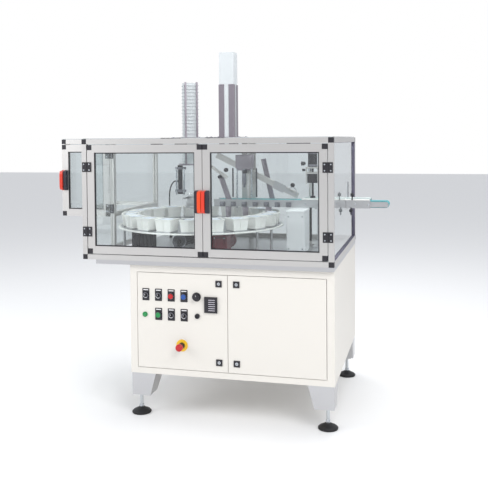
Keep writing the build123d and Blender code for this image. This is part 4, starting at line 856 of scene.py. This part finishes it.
rib = start_block("tub_corner_ribs", (tub_x + 45, -12, 1096), (tub_x + 49, -8, 1157))
narrow_face(rib, DOWN, 0.7)
moved(rib, about=(tub_x + 45, -10, 1096), axis="Y", degrees=6)
round_edges(rib, 0.6)
dress(round_the_table("tub_corner_ribs", rib), polypropylene, "turntable")


# Drives: fan grille, motor plates and the cover's screws

FAN_X = -377
FAN_Z = 1005
FAN_Y = -288
rings = []
for radius in (46, 34, 22):
    ring = start_round(f"fan_ring_{radius}", (FAN_X, FAN_Y - 2, FAN_Z), "Y", radius, 4, 40)
    step_face(ring, FRONT, 4, -2.5)
    rings.append(ring)
fan_grille = joined("motor_fan_grille", rings)
round_edges(fan_grille, 0.8)
dress(fan_grille, zinc_dark)
fan_hub = start_round("motor_fan_hub", (FAN_X, FAN_Y - 4, FAN_Z), "Y", 12, 5, 32)
step_face(fan_hub, FRONT, 3, 2)
narrow_face(fan_hub, FRONT, 0.8)
round_edges(fan_hub, 0.8)
dress(fan_hub, nylon_black)

gear_plate = start_block("gearmotor_front_plate", (-160, -289.5, 946), (-84, -287.2, 1040))
step_face(gear_plate, FRONT, 6, 1.8)
step_face(gear_plate, FRONT, 12, -1.2)
round_edges(gear_plate, 0.8)
dress(gear_plate, enamel_red)
gear_bolt = start_round("gearmotor_bolts", (0, 0, 0), "Y", 5, 4, 6)
step_face(gear_bolt, FRONT, 1.2, -1)
round_edges(gear_bolt, 0.4)
gear_bolt = laid_out(gear_bolt, [(x, -291, z) for x in (-153, -91) for z in (953, 1033)])
dress(gear_bolt, zinc)

cover_lid = start_block("belt_cover_lid", (250.6, -88.6, 1174.6), (367.4, 114.6, 1186.4))
step_face(cover_lid, UP, 5, 2.2)
round_edges(cover_lid, 2, 3)
dress(cover_lid, powder_white)
cover_screw = start_round("belt_cover_screws", (0, 0, 0), "Y", 5, 2.4, 20)
step_face(cover_screw, FRONT, 2.2, -1)
round_edges(cover_screw, 0.5)
cover_screw = laid_out(cover_screw, [(x, -88, z) for x in (266, 352) for z in (950, 1150)])
dress(cover_screw, zinc)


# Placing head over the middle of the table, and the lift cylinder's fittings

head_box = start_block("placing_head_housing", (-470, 118, 1176), (-322, 190, 1262))
step_face(head_box, FRONT, 14, 6)
step_face(head_box, UP, 16, 14)
step_face(head_box, DOWN, 20, 10)
round_edges(head_box, 3, 3)
dress(head_box, stainless)
head_post = start_round("placing_head_post", (-396, 190, 1110), "Z", 24, 140, 32)
step_face(head_post, DOWN, -8, 10)
round_edges(head_post, 1)
head_clamp = start_block("placing_head_clamp", (-430, 196, 1020), (-362, 262, 1060))
round_edges(head_clamp, 2)
lift_rods = start_round("lift_guide_rods", (0, 0, 0), "Z", 6, 190, 20)
step_face(lift_rods, DOWN, 1.5, 3)
round_edges(lift_rods, 0.8)
lift_rods = laid_out(lift_rods, [(-572, 372, 1340), (-628, 372, 1340)])
dress(lift_rods, zinc)
bpy.data.objects.remove(head_clamp)
dress(head_post, zinc)
lift_clamp = start_block("lift_cylinder_clamps", (-640, 374, -9), (-560, 388, 9))
step_face(lift_clamp, FRONT, 6, 3)
round_edges(lift_clamp, 1.2)
lift_clamp = laid_out(lift_clamp, [(0, 0, 1270), (0, 0, 1430)])
dress(lift_clamp, zinc_dark)


# Magazines: rail tops and flange screws

rail_cap = start_block("carton_rail_caps", (-19, -3, 0), (19, 3, 6))
step_face(rail_cap, UP, 1.5, 1.5)
round_edges(rail_cap, 0.8)
rail_cap = laid_out(rail_cap, [(-186 + sx * 33, 173 + sy * 51, 1988) for sx in (-1, 1) for sy in (-1, 1)])
dress(rail_cap, stainless_dark)

flange_screw = start_round("flange_screws", (0, 0, 0), "Z", 6, 4, 6)
step_face(flange_screw, UP, 1.4, 1.2)
round_edges(flange_screw, 0.5)
flange_places = [(-186 + sx * 96, 173 + sy * 88, 1650) for sx in (-1, 1) for sy in (-1, 1)]
flange_places += [(-529.6 + sx * 96, 395.4 + sy * 88, 1650) for sx in (-1, 1) for sy in (-1, 1)]
flange_screw = laid_out(flange_screw, flange_places)
dress(flange_screw, zinc)


# Floor, light and camera

bpy.ops.object.select_all(action="DESELECT")
bpy.ops.mesh.primitive_plane_add(size=60, location=(0, 0, -0.0005))
floor = bpy.context.object
floor.name = "floor"
floor_white, shader = new_material("floor_matt_white", Base_Color=linear("#F4F4F4"), Roughness=0.7)
floor.data.materials.append(floor_white)

world = bpy.data.worlds.new("soft_daylight")
bpy.context.scene.world = world
world.use_nodes = True
tree = world.node_tree
tree.nodes.clear()
sky_light = add_node(world, "ShaderNodeBackground", {"Color": (0.94, 0.96, 1.0, 1.0), "Strength": 0.75})
white_back = add_node(world, "ShaderNodeBackground", {"Color": (1.0, 1.0, 1.0, 1.0), "Strength": 1.0})
ray = add_node(world, "ShaderNodeLightPath")
shown = add_node(world, "ShaderNodeMixShader", Fac=ray.outputs["Is Camera Ray"])
tree.links.new(sky_light.outputs[0], shown.inputs[1])
tree.links.new(white_back.outputs[0], shown.inputs[2])
world_output = add_node(world, "ShaderNodeOutputWorld")
tree.links.new(shown.outputs[0], world_output.inputs["Surface"])


def soft_lamp(name, place, target, size, watts):
    """A square area lamp that faces the target."""
    bpy.ops.object.light_add(type="AREA", location=place)
    lamp = bpy.context.object
    lamp.name = name
    lamp.data.size = size
    lamp.data.energy = watts
    lamp.rotation_euler = (Vector(target) - Vector(place)).to_track_quat("-Z", "Y").to_euler()


soft_lamp("key_softbox", (3.2, -4.2, 4.6), (0, 0, 0.9), 3.0, 170)
soft_lamp("fill_softbox", (-4.6, -3.4, 3.0), (0, 0, 0.9), 3.0, 110)
soft_lamp("top_softbox", (0, 1.2, 5.2), (0, 0, 0.9), 4.0, 120)

YAW = 0.2502
PITCH = 0.033
ROLL = -0.0079
flat_ahead = Vector((-math.sin(YAW), math.cos(YAW), 0))
flat_right = Vector((math.cos(YAW), math.sin(YAW), 0))
zenith = Vector((0, 0, 1))
ahead = flat_ahead * math.cos(PITCH) - zenith * math.sin(PITCH)
tilted_up = flat_ahead * math.sin(PITCH) + zenith * math.cos(PITCH)
to_right = flat_right * math.cos(ROLL) + tilted_up * math.sin(ROLL)
upward = -flat_right * math.sin(ROLL) + tilted_up * math.cos(ROLL)
camera_data = bpy.data.cameras.new("photo_camera")
camera = bpy.data.objects.new("photo_camera", camera_data)
bpy.context.collection.objects.link(camera)
turn = Matrix((to_right, upward, -ahead)).transposed().to_4x4()
camera.matrix_world = Matrix.Translation((1.11876, -4.52680, 1.62786)) @ turn
camera_data.sensor_width = 36
camera_data.lens = 53.86
camera_data.shift_y = -0.164
bpy.context.scene.camera = camera
bpy.context.scene.view_settings.view_transform = "Standard"
